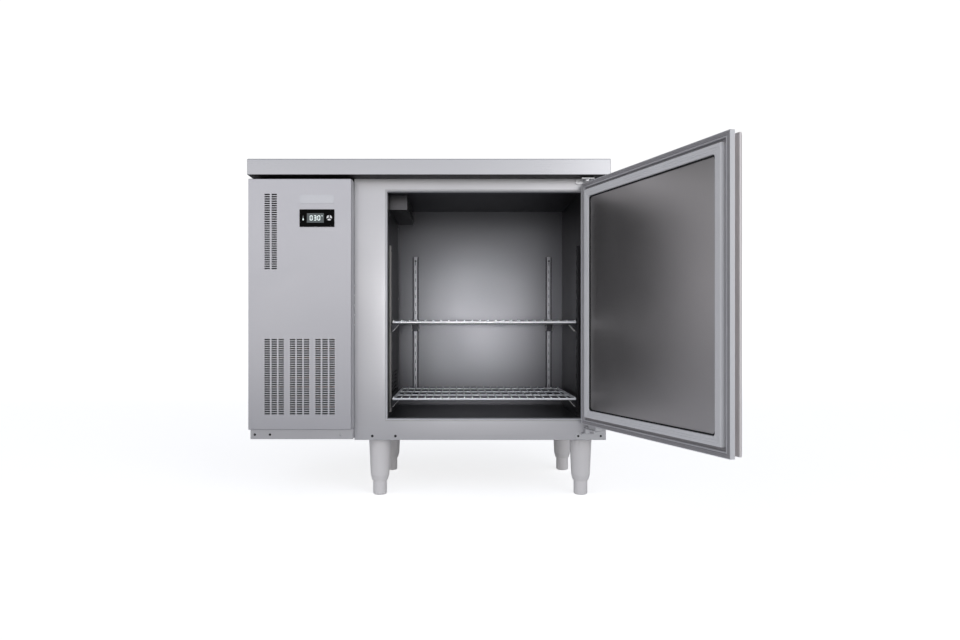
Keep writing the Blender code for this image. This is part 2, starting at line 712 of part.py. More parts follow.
def smooth_route(points, steps=5):
    """Points along a smooth curve through the given ones, ends included."""
    knots = [Vector(point) for point in points]
    padded = [2 * knots[0] - knots[1]] + knots + [2 * knots[-1] - knots[-2]]
    route = []
    for before, start, end, after in zip(padded, padded[1:], padded[2:], padded[3:]):
        for step in range(steps):
            t = step / steps
            slope = end - before
            bend = 2 * before - 5 * start + 4 * end - after
            turn = 3 * start - before - 3 * end + after
            route.append(0.5 * (2 * start + slope * t + bend * t**2 + turn * t**3))
    return route + [knots[-1]]


def pipe(name, points, finish):
    """A round pipe along a smooth route."""
    route = smooth_route(points)
    curve = bpy.data.curves.new(name, "CURVE")
    curve.dimensions = "3D"
    curve.bevel_depth = PIPE_RADIUS
    curve.bevel_resolution = 2
    curve.use_fill_caps = True
    spline = curve.splines.new("POLY")
    spline.points.add(len(route) - 1)
    for point, place in zip(spline.points, route):
        point.co = (*place, 1.0)
    curve.materials.append(make_material(finish))
    bpy.context.scene.collection.objects.link(bpy.data.objects.new(name, curve))


def make_machinery():
    """Condenser with its fan, compressor, pipes, control box, gland and drain pan."""
    fins = comb(18, FIN_THICKNESS, FIN_SPINE, CONDENSER_X, CONDENSER_Z[1] - CONDENSER_Z[0])
    outline = [(along, CONDENSER_Y[0], CONDENSER_Z[1] - out) for along, out in fins]
    depth = CONDENSER_Y[1] - CONDENSER_Y[0]
    solid("condenser_coil", extruded(outline, (0, depth, 0)), "aluminium")

    shroud = (CONDENSER_X, SHROUD_Y, CONDENSER_Z)
    (x0, x1), (_, y1), (z0, z1) = grown(shroud, -PANEL)
    hollow = boxes(((x0, x1), (SHROUD_Y[0] - 0.01, y1), (z0, z1)))
    x, y, z = FAN_CENTRE
    hole = rod(FAN_HOLE, -0.09, -0.05, (x, 0, z), "Y", 32)
    solid("condenser_shroud", boxes(shroud), "galvanised", cuts=[hollow, hole])

    strip_front = SHROUD_Y[1] + GAP
    strip = boxes((CONDENSER_X, (strip_front, strip_front + 0.003), (z - 0.010, z + 0.010)))
    motor_front = strip_front + 0.002
    motor = [
        (0, CONDENSER_SHAFT_END),
        (SHAFT_RADIUS, CONDENSER_SHAFT_END),
        (SHAFT_RADIUS, motor_front),
        (CONDENSER_MOTOR_RADIUS, motor_front),
        (CONDENSER_MOTOR_RADIUS, CONDENSER_MOTOR_BACK - 0.006),
        (CONDENSER_MOTOR_RADIUS - 0.008, CONDENSER_MOTOR_BACK),
        (0, CONDENSER_MOTOR_BACK),
    ]
    solid("condenser_fan_motor", strip, "black_enamel", joins=[turned(motor, (x, 0, z), "Y", 20)])
    fan_wheel("condenser_fan_blade", FAN_CENTRE, "Y", "aluminium", 0.020, 0.088, 0.016, 5)

    x, y = COMPRESSOR_CENTRE
    floor = BASE_BOTTOM + BASE_SHEET + GAP
    pot = [
        (0, floor + 0.001),
        (0.060, floor + 0.001),
        (COMPRESSOR_RADIUS, -0.672),
        (COMPRESSOR_RADIUS, -0.580),
        (0.064, -0.550),
        (0.040, -0.528),
        (0, COMPRESSOR_TOP),
    ]
    inside = [
        (0, floor - 0.01),
        (0.048, floor - 0.01),
        (0.048, floor + 0.004),
        (0.063, -0.670),
        (0.063, -0.582),
        (0.056, -0.557),
        (0.035, -0.538),
        (0, COMPRESSOR_TOP - 0.010),
    ]
    length, width = COMPRESSOR_FOOT
    plate = boxes(((x - 0.100, x - 0.100 + length), (y - width / 2, y + width / 2), (floor, floor + 0.003)))
    solid(
        "compressor",
        turned(pot, (x, y, 0), "Z", 24),
        "black_enamel",
        joins=[plate],
        cuts=[turned(inside, (x, y, 0), "Z", 24)],
    )

    side = x + COMPRESSOR_RADIUS + GAP
    pipe(
        "discharge_pipe",
        [
            (side + 0.0005, y, -0.600),
            (side + 0.016, y, -0.599),
            (side + 0.036, y - 0.006, -0.580),
            (side + 0.040, y - 0.010, -0.520),
            (side + 0.038, y - 0.014, -0.430),
            (side + 0.032, y - 0.050, -0.398),
            (side + 0.028, -0.080, -0.394),
            (side + 0.026, -0.126, -0.402),
            (side + 0.026, -0.137, -0.420),
            (side + 0.026, -0.1375, CONDENSER_Z[1] + GAP),
        ],
        "copper",
    )
    end = EVAPORATOR_X[0] - GAP
    pipe(
        "suction_pipe",
        [
            (x, y, COMPRESSOR_TOP + GAP),
            (x, y, -0.500),
            (x, y, -0.400),
            (x + 0.004, y, -0.340),
            (x + 0.024, y, -0.310),
            (x + 0.060, y, PIPE_HEIGHT),
            (x + 0.100, y, PIPE_HEIGHT),
            (CABINET_LEFT, y, PIPE_HEIGHT),
            (end, y, PIPE_HEIGHT),
        ],
        "copper",
    )

    left = MACHINE_LEFT + PANEL + GAP
    box = ((left, left + CONTROL_BOX_WIDTH), CONTROL_BOX_Y, CONTROL_BOX_Z)
    (x0, _), (y0, y1), (z0, z1) = grown(box, -0.0012)
    hollow = boxes(((x0, left + 0.08), (y0, y1), (z0, z1)))
    solid("electrical_box", boxes(box), "galvanised", cuts=[hollow])

    nut = BACK_PANEL_Y + PANEL + GAP
    gland = [
        (GLAND_BORE, GLAND_FRONT),
        (GLAND_BODY, GLAND_FRONT),
        (GLAND_BODY, nut),
        (GLAND_NUT, nut),
        (GLAND_NUT, nut + 0.008),
        (GLAND_CAP, nut + 0.015),
        (GLAND_BORE, nut + 0.015),
    ]
    solid("cord_gland", turned(gland, (GLAND_X, 0, GLAND_Z), "Y", 16, ring=True), "black_plastic")

    pan = (CONDENSER_X, PAN_Y, (floor, floor + PAN_HEIGHT))
    (x0, x1), (y0, y1), (z0, _) = grown(pan, -PANEL)
    hollow = boxes(((x0, x1), (y0, y1), (z0, floor + PAN_HEIGHT + 0.01)))
    solid("drain_pan", boxes(pan), "grey_plastic", cuts=[hollow])


def make_legs():
    """Four tapered sleeves with screw feet."""
    top = CABINET_BOTTOM - GAP
    sleeve = [
        (0, top),
        (SLEEVE_RADII[0], top),
        (SLEEVE_RADII[1], SLEEVE_SHOULDER),
        (SLEEVE_RADII[2], SLEEVE_BOTTOM),
        (STEM_BORE, SLEEVE_BOTTOM),
        (STEM_BORE, BORE_TOP),
        (0, BORE_TOP),
    ]
    shoulder = SLEEVE_BOTTOM - GAP
    foot = [(0, STEM_TOP), (STEM_RADIUS, STEM_TOP), (STEM_RADIUS, shoulder), (FOOT_RADIUS, shoulder)]
    for step in range(4):
        angle = math.pi / 2 * step / 3
        radius = FOOT_RADIUS - FOOT_EDGE + FOOT_EDGE * math.cos(angle)
        foot.append((radius, -HEIGHT + FOOT_EDGE - FOOT_EDGE * math.sin(angle)))
    foot.append((0, -HEIGHT))
    for y, row in zip(LEG_Y, ("front", "rear")):
        for x, side in zip(LEG_X, ("left", "right")):
            solid(f"leg_sleeve_{row}_{side}", turned(sleeve, (x, y, 0)), "leg_plastic")
            body = turned(foot, (x, y, 0))
            solid(f"adjustable_foot_{row}_{side}", body, "leg_plastic", origin=(x, y, shoulder))


def arc(centre, radius, start, end, steps=8):
    """Points along an arc, angles in degrees."""
    points = []
    for step in range(steps + 1):
        angle = math.radians(start + (end - start) * step / steps)
        points.append((centre[0] + radius * math.cos(angle), centre[1] + radius * math.sin(angle)))
    return points


def hinge_bracket(name, plate_z, arm_z, boss_z, pin_z):
    """Face plate with rounded ends, an arm over the pivot, a boss and the hinge pin."""
    half = (plate_z[1] - plate_z[0]) / 2
    middle = sum(plate_z) / 2
    left = (BRACKET_X[0] + half, middle)
    right = (BRACKET_X[1] - half, middle)
    outline = arc(left, half, 90, 270) + arc(right, half, -90, 90)
    thickness = (0, BRACKET_PLATE_BACK - BRACKET_PLATE_FRONT, 0)
    plate = extruded([(x, BRACKET_PLATE_FRONT, z) for x, z in outline], thickness)
    arm = boxes((BRACKET_ARM_X, (BRACKET_ARM_FRONT, BRACKET_PLATE_FRONT + 0.002), arm_z))
    boss = rod(BOSS_RADIUS, *boss_z, (PIVOT_X, PIVOT_Y, 0), "Z", 20)
    pin = rod(PIN_RADIUS, *pin_z, (PIVOT_X, PIVOT_Y, 0), "Z", 16)
    solid(name, plate, "stainless", joins=[arm, boss, pin])


def door_hinge_plate(name, plate_z, block_z, hinge_line):
    """Tongue round the hinge pin, on a block screwed to the door's edge."""
    front = PIVOT_Y - TONGUE_RADIUS
    back = PIVOT_Y + TONGUE_RADIUS
    outline = [(BLOCK_X[0], back), (BLOCK_X[0], front)]
    outline += arc((PIVOT_X, PIVOT_Y), TONGUE_RADIUS, -90, 90, 10)
    tongue = extruded([(x, y, plate_z[0]) for x, y in outline], (0, 0, HINGE_PLATE))
    block = boxes((BLOCK_X, (front - 0.004, BLOCK_BACK), block_z))
    bore = rod(PIN_BORE, plate_z[0] - 0.01, plate_z[1] + 0.01, (PIVOT_X, PIVOT_Y, 0), "Z", 16)
    solid(name, tongue, "stainless", (PIVOT_X, PIVOT_Y, 0), hinge_line, joins=[block], cuts=[bore])


def make_hinges(hinge_line):
    """The two brackets on the cabinet and the two plates on the door."""
    arm_top = -0.683
    plate_low = -0.673
    hinge_bracket("hinge_bracket_lower", (-0.7017, arm_top), (arm_top - 0.0035, arm_top),
                  (arm_top - 0.001, plate_low - GAP), (arm_top - 0.001, plate_low + 0.005))
    door_hinge_plate("door_hinge_plate_lower", (plate_low, plate_low + HINGE_PLATE),
                     (plate_low + 0.001, DOOR_BOTTOM + SKIN_INSET - GAP), hinge_line)
    arm_low = -0.0450
    plate_high = -0.0520
    hinge_bracket("hinge_bracket_upper", (-0.0545, -0.0395), (arm_low, arm_low + 0.0035),
                  (plate_high + GAP, arm_low + 0.001), (plate_high - 0.0025, arm_low + 0.001))
    door_hinge_plate("door_hinge_plate_upper", (plate_high - HINGE_PLATE, plate_high),
                     (DOOR_TOP - SKIN_INSET + GAP, plate_high - 0.001), hinge_line)


def make_door():
    """Foamed door on its hinge line, standing open."""
    hinge_line = bpy.data.objects.new("door_hinge_line", None)
    bpy.context.scene.collection.objects.link(hinge_line)
    hinge_line.location = (PIVOT_X, PIVOT_Y, 0)
    hinge_line.rotation_euler = (0, 0, OPEN_ANGLE)
    pivot = (PIVOT_X, PIVOT_Y, 0)
    rim_x = (DOOR_LEFT, DOOR_RIGHT)
    rim_z = (DOOR_BOTTOM, DOOR_TOP)

    gasket = [(0, GASKET_BACK), (0, SEAL_Y), (GASKET_WIDTH, SEAL_Y), (GASKET_WIDTH, GASKET_BACK)]
    solid("door_gasket", rectangle_frame(rim_x, rim_z, gasket), "gasket_rubber", pivot, hinge_line)

    frame_outer = GASKET_WIDTH + GAP
    low_face = SEAL_Y - 0.003
    high_face = SEAL_Y + 0.0047
    frame = [
        (frame_outer, GASKET_BACK),
        (frame_outer, low_face),
        (FRAME_STEP, low_face),
        (FRAME_STEP, high_face),
        (FRAME_INNER, high_face),
        (FRAME_INNER, GASKET_BACK),
    ]
    solid("door_inner_frame", rectangle_frame(rim_x, rim_z, frame), "grey_plastic", pivot, hinge_line)

    inner = FRAME_INNER + GAP
    liner_face = SEAL_Y - 0.0015
    liner_x = (DOOR_LEFT + inner, DOOR_RIGHT - inner)
    liner_z = (DOOR_BOTTOM + inner, DOOR_TOP - inner)
    liner = boxes((liner_x, (liner_face - SHEET, liner_face), liner_z))
    solid("door_liner", liner, "stainless", pivot, hinge_line)

    skin_x = (DOOR_LEFT + HANDLE_WIDTH + GAP, DOOR_RIGHT)
    skin_z = (DOOR_BOTTOM + SKIN_INSET, DOOR_TOP - SKIN_INSET)
    skin_back = GASKET_BACK - GAP
    hollow = boxes((
        (skin_x[0] - 0.01, DOOR_RIGHT - SHEET),
        (DOOR_FRONT + SHEET, skin_back + 0.01),
        (skin_z[0] + SHEET, skin_z[1] - SHEET),
    ))
    skin = boxes((skin_x, (DOOR_FRONT, skin_back), skin_z))
    solid("door_skin", skin, "stainless", pivot, hinge_line, cuts=[hollow])

    space = SHEET + GAP
    foam = boxes(((skin_x[0], DOOR_RIGHT - space), (DOOR_FRONT + space, skin_back),
                  (skin_z[0] + space, skin_z[1] - space)))
    middle = boxes((liner_x, (skin_back - 0.002, liner_face - space), liner_z))
    solid("door_foam", foam, "insulation", pivot, hinge_line, joins=[middle])

    section = [
        (0, GROOVE_FRONT),
        (0, LIP_FRONT),
        (HANDLE_BEVEL, DOOR_THICKNESS),
        (HANDLE_WIDTH, DOOR_THICKNESS),
        (HANDLE_WIDTH, GASKET_THICKNESS + GAP),
        (GROOVE_DEPTH, GASKET_THICKNESS + GAP),
        (GROOVE_DEPTH, GROOVE_FRONT),
    ]
    outline = [(DOOR_LEFT + across, SEAL_Y - through, skin_z[0]) for across, through in section]
    handle = extruded(outline, (0, 0, skin_z[1] - skin_z[0]))
    solid("door_handle_profile", handle, "aluminium", pivot, hinge_line)
    make_hinges(hinge_line)


def main():
    clear_scene()
    make_worktop()
    make_cabinet()
    make_cooling_side()
    make_shelf_supports()
    make_shelves()
    make_machine_casing()
    make_controller()
    make_machinery()
    make_legs()
    make_door()


main()
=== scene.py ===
"""Looks of the undercounter refrigerator: materials, fine pieces, studio and camera."""

import json
import math

import bmesh
import bpy
from mathutils import Matrix, Vector


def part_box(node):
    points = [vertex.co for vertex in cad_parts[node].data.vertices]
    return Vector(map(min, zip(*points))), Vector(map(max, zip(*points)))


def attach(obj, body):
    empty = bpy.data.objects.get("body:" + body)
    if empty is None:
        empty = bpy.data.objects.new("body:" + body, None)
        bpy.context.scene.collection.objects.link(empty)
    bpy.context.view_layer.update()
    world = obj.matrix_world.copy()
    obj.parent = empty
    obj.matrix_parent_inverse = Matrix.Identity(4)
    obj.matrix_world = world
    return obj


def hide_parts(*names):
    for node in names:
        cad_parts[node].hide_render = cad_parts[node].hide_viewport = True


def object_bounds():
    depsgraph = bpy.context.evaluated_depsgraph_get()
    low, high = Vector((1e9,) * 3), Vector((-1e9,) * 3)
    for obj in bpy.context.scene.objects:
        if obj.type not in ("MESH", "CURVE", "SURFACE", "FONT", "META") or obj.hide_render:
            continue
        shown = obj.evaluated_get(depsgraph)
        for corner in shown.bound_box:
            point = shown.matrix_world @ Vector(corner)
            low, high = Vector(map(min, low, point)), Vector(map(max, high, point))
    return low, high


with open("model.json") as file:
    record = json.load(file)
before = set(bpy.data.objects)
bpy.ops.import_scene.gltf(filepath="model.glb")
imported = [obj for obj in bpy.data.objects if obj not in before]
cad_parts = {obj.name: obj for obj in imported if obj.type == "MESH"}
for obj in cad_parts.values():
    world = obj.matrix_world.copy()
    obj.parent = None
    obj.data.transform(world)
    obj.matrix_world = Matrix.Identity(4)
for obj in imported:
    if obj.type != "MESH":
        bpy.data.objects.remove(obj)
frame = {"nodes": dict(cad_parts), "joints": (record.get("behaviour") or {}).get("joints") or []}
CAD_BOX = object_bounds()
NODES = frame["nodes"]
JOINTS = {joint["name"]: joint for joint in frame["joints"]}
CORNERS = ("front_left", "front_right", "rear_left", "rear_right")
FRONT = (0, -1, 0)
UP = (0, 0, 1)

# The door's closed place, from its hinge joint
HINGE = JOINTS["door_hinge"]
PIVOT = Vector((HINGE["pos_m"][0], HINGE["pos_m"][1], 0))
DOOR_OPEN = (
    Matrix.Translation(PIVOT)
    @ Matrix.Rotation(math.radians(-HINGE["range_deg"][0]), 4, "Z")
    @ Matrix.Translation(-PIVOT)
)

# Camera: a level view of the front, one point perspective
CAMERA_PLACE = (0.068, -1.967, -0.421)
CAMERA_LENS = 26.44
CAMERA_SHIFT = (0.0245, 0.0094)

# World colour from straight down (0) to straight up (1), and soft lights: place, aim, size, watts
SKY = (
    (0.02, (0.42, 0.41, 0.40)), (0.35, (0.90, 0.87, 0.84)), (0.46, (1.36, 1.34, 1.31)),
    (0.55, (1.36, 1.35, 1.36)), (0.68, (0.60, 0.62, 0.69)), (0.98, (0.36, 0.39, 0.46)),
)
SKY_BEHIND = 0.25
LIGHTS = (
    ("left_light", (-2.9, -1.3, 0.6), (0.4, -0.3, -0.4), 1.4, 2),
    ("right_light", (1.7, -2.8, 0.9), (0.2, 0.0, -0.2), 1.4, 10),
    ("front_light", (0.05, -2.7, -0.40), (0.145, 0.165, -0.385), 0.34, 0.108),
)
SPREAD = {"front_light": 8}
PAPER_WHITE = (0.74, 0.97)
PAPER_FLOOR = 0.82
PAPER_WALL = 0.12
PAPER_BOTTOM = -0.85
WHITE = (1.0, 1.0, 1.0, 1.0)
SWEEP_START = 2.2
SWEEP_RADIUS = 1.2

# Noise textures: the part of their range that is used, and the height of the grain
NOISE_SPAN = (0.3, 0.7)
GRAIN_HEIGHT = 0.0004

# CAD nodes that keep their shape: material, edge rounding and its segments
KEPT_NODES = {
    "worktop_core": ("plywood", 0.0),
    "outer_shell": ("cabinet", 0.0004),
    "insulation_foam": ("foam", 0.0),
    "inner_liner": ("liner", 0.0003),
    "breaker_strip": ("strip", 0.0009, 3),
    "fan_box": ("liner_side", 0.0005),
    "machine_side_panel": ("cabinet", 0.0003),
    "machine_base": ("cabinet", 0.0006),
    "machine_back_panel": ("galvanised", 0.0002),
    "display_bezel": ("black", 0.0003),
    "display_lens": ("lens", 0.0001),
    "electrical_box": ("galvanised", 0.0003),
    "drain_pan": ("frame", 0.0003),
    "condenser_shroud": ("galvanised", 0.0003),
    "discharge_pipe": ("copper", 0.0),
    "suction_pipe": ("copper", 0.0),
    "door_foam": ("foam", 0.0),
    "door_hinge_plate_lower": ("fitting", 0.0005),
    "door_hinge_plate_upper": ("fitting", 0.0005),
    "hinge_bracket_lower": ("fitting", 0.0005),
    "hinge_bracket_upper": ("fitting", 0.0005),
}

# Sheet and wire sizes, in metres
SHEET = 0.001
BEND = 0.0016
ROD = 0.003
WIRE = 0.0014
SHELF_WIRES = 24
SHELF_RODS = 4
SMOOTH_SIDES = 64

# Evaporator cover, shelf standards and clips
LOUVRE_ROWS = 6
LOUVRE_Y = (-0.112, 0.101)
LOUVRE_BOTTOM = -0.5955
LOUVRE_PITCH = 0.0103
LOUVRE_HEIGHT = 0.004
HOOD_DEPTH = 0.0034
DUCT_HOLE_Y = (-0.095, 0.155)
DUCT_HOLE_Z = (-0.103, -0.072)
STANDARD_SLOTS = 17
STANDARD_PITCH = 0.0245
STANDARD_SCREW = 0.0125
STANDARD_SLOT_HALF = (0.0014, 0.0052)
STANDARD_SHEET = 0.0012
FLANGE = 0.0034
CLIP_SHEET = 0.0014
CLIP_NOSE = 0.003
CLIP_FOOT = 0.0022
CLIP_EDGE = 0.0011

# Coils, compressor and fan motors
COIL_BEND = 0.014
FIN_PITCH = 0.0034
FIN_SHEET = 0.0004
TUBE = 0.0042
TUBE_PITCH = 0.025
POT_RADIUS = 0.072
POT_OFFSET = 0.100
MOTOR_RADIUS = 0.032
GLAND_NECK = 0.015
GLAND_BORE = 0.0035
GLAND_NUT = 0.0072
GROMMET_INSET = 0.013
GROMMET = (
    (0.0035, 0.0031), (0.0095, 0.0031), (0.0100, 0.0040), (0.0080, 0.0060), (0.0100, 0.0085),
    (0.0092, 0.0100), (0.0035, 0.0100),
)
BLADE_SHEET = 0.0012
BLADE_STEPS = 8

# Grille slots of the machine cover
SLOT = (0.0134, 0.0034)
SLOT_ROUND = 0.0011
SLOT_ROWS = 34
SLOT_ROW_PITCH = 0.00557
SLOT_COLUMN_PITCH = 0.0175
SLOT_GROUP_PITCH = 0.063
LOWER_GRILLE = -0.6311
UPPER_GRILLE = -0.271

# Controller: the reading's bars as column, row and whether they lie flat, the sign, button and plate
READING = "030"
SEGMENTS = {"0": "abcdef", "3": "abcdg"}
BARS = {
    "a": (0, 2, True), "g": (0, 0, True), "d": (0, -2, True),
    "f": (-1, 1, False), "b": (1, 1, False), "e": (-1, -1, False), "c": (1, -1, False),
}
DIGIT_PITCH = 0.0095
DIGIT_BAR = 0.0054
DIGIT_GAP = 0.0003
DIGIT_WIDTH = 0.0015
PRINT = 0.0003
DEGREE_MARK = (0.0165, 0.0052)
BULB_DROP = 0.0042
BUTTON_CROWN = 0.0009
PLATE_SIZE = (0.042, 0.0105)
PLATE_RISE = 0.0255

# Screws, spare holes and base holes: their places on the rail, the base and the panels, and the profiles of
# the near-black discs painted as shade in the last two
BRACKET_SCREWS = ((0.3768, 0.4340), -0.6925)
BRACKET_SHEET = 0.0038
SPARE_HOLES = ((-0.146, -0.0873), -0.6930)
BASE_HOLES = (-0.437, -0.399)
BASE_SCREW = -0.222
BASE_Z = -0.6854
SIDE_SCREWS = ((-0.160, 0.205), (-0.640, -0.360, -0.080))
BACK_SCREWS = ((-0.436, -0.203), (-0.655, -0.360, -0.060))
COVER_SCREWS = ((-0.104, 0.157), (-0.640, -0.330, -0.120))
SPARE_HOLE_DISC = ((0, 0.00002), (0.0022, 0.00002), (0.0027, 0.0004), (0.0030, 0.0004), (0.0034, 0))
BASE_HOLE = ((0, 0.0001), (0.0024, 0.0001), (0.0027, 0.0003), (0.0031, 0))

# Legs: radius and height up the sleeve's lower end, and the foot's thread
SLEEVE_END = (
    (0.0, 0.0876), (0.0086, 0.0876), (0.0086, 0.0), (0.0192, 0.0), (0.0201, 0.0005), (0.0235, 0.0124),
    (0.0239, 0.0136), (0.0241, 0.0155),
)
SHOULDER = 0.0371
FOOT_EDGE = 0.005
STEM = 0.0078
THREAD = (0.0066, 0.0079)
THREAD_PITCH = 0.0025

# Door handle: how far behind the seal its steps lie, and the rounding of its corners
HANDLE_DEPTHS = (0.0113, 0.022, 0.026, 0.042)
HANDLE_ROUND = (0.0012, 0.0015, 0.004, 0.0002, 0.0002, 0.0015, 0.0025)


# ---------------- materials


def set_inputs(tree, node, inputs):
    """Set a node's inputs to values, or link them to outputs of other nodes."""
    for key, value in inputs.items():
        if isinstance(value, bpy.types.NodeSocket):
            tree.links.new(value, node.inputs[key])
        else:
            node.inputs[key].default_value = value


def add_node(tree, kind, inputs=None, **settings):
    """A shader node with its settings and inputs."""
    node = tree.nodes.new(f"ShaderNode{kind}")
    for key, value in settings.items():
        setattr(node, key, value)
    set_inputs(tree, node, inputs or {})
    return node


def add_mix(tree, factor, first, second, blend="MIX"):
    """Two colours mixed."""
    inputs = {0: factor, 6: first, 7: second}
    return add_node(tree, "Mix", inputs, data_type="RGBA", blend_type=blend).outputs[2]


def add_math(tree, operation, first, second, **settings):
    """Two numbers put together."""
    return add_node(tree, "Math", {0: first, 1: second}, operation=operation, **settings).outputs["Value"]


def add_range(tree, value, source, target):
    """A number's range moved from source to target, and kept inside it."""
    ends = zip(("From Min", "From Max", "To Min", "To Max"), (*source, *target))
    return add_node(tree, "MapRange", {"Value": value, **dict(ends)}).outputs["Result"]


def new_material(name):
    """A material, its node tree and its shader."""
    material = bpy.data.materials.new(name)
    material.use_nodes = True
    return material, material.node_tree, material.node_tree.nodes["Principled BSDF"]


def shade(colour, factor):
    """A colour made lighter or darker, with alpha."""
    return (*(min(1.0, part * factor) for part in colour), 1.0)


def finish(name, colour, roughness, metallic=0.0, grain=900, grain_bump=0.05, grain_rough=0.05,
           grain_tint=0.02, cloud=5.0, cloud_tint=0.04, cloud_rough=0.05, detail=4.0, **sockets):
    """A Principled material with fine grain, broad unevenness and a little bump."""
    material, tree, shader = new_material(name)
    place = add_node(tree, "TexCoord").outputs["Object"]
    scale = grain if isinstance(grain, (list, tuple)) else (grain,) * 3
    mapped = add_node(tree, "Mapping", {"Vector": place, "Scale": scale}).outputs["Vector"]
    fine = add_node(tree, "TexNoise", {"Vector": mapped, "Scale": 1.0, "Detail": detail}).outputs["Fac"]
    clouds = {"Vector": place, "Scale": cloud, "Detail": 3.0, "Distortion": 0.6}
    broad = add_node(tree, "TexNoise", clouds).outputs["Fac"]
    cloudy = add_mix(tree, broad, shade(colour, 1 - cloud_tint), shade(colour, 1 + cloud_tint))
    streaks = add_range(tree, fine, NOISE_SPAN, (1 - grain_tint, 1.0))
    rough_broad = add_range(tree, broad, NOISE_SPAN, (roughness - cloud_rough, roughness + cloud_rough))
    rough_fine = add_range(tree, fine, NOISE_SPAN, (-grain_rough, grain_rough))
    bump = add_node(tree, "Bump", {"Height": fine, "Strength": grain_bump, "Distance": GRAIN_HEIGHT})
    set_inputs(tree, shader, {
        "Base Color": add_mix(tree, 1.0, cloudy, streaks, "MULTIPLY"),
        "Roughness": add_math(tree, "ADD", rough_broad, rough_fine, use_clamp=True),
        "Normal": bump.outputs["Normal"],
        "Metallic": metallic,
    })
    set_inputs(tree, shader, {key.replace("_", " "): value for key, value in sockets.items()})
    return material


def brushed(name, colour, roughness, along):
    """Brushed stainless sheet, its lines running along one axis."""
    scale = [1500.0, 1500.0, 1500.0]
    scale["XYZ".index(along)] = 14.0
    return finish(name, colour, roughness, 1.0, scale, 0.03, 0.035, 0.03, cloud=3.2, cloud_tint=0.035,
                  cloud_rough=0.035)


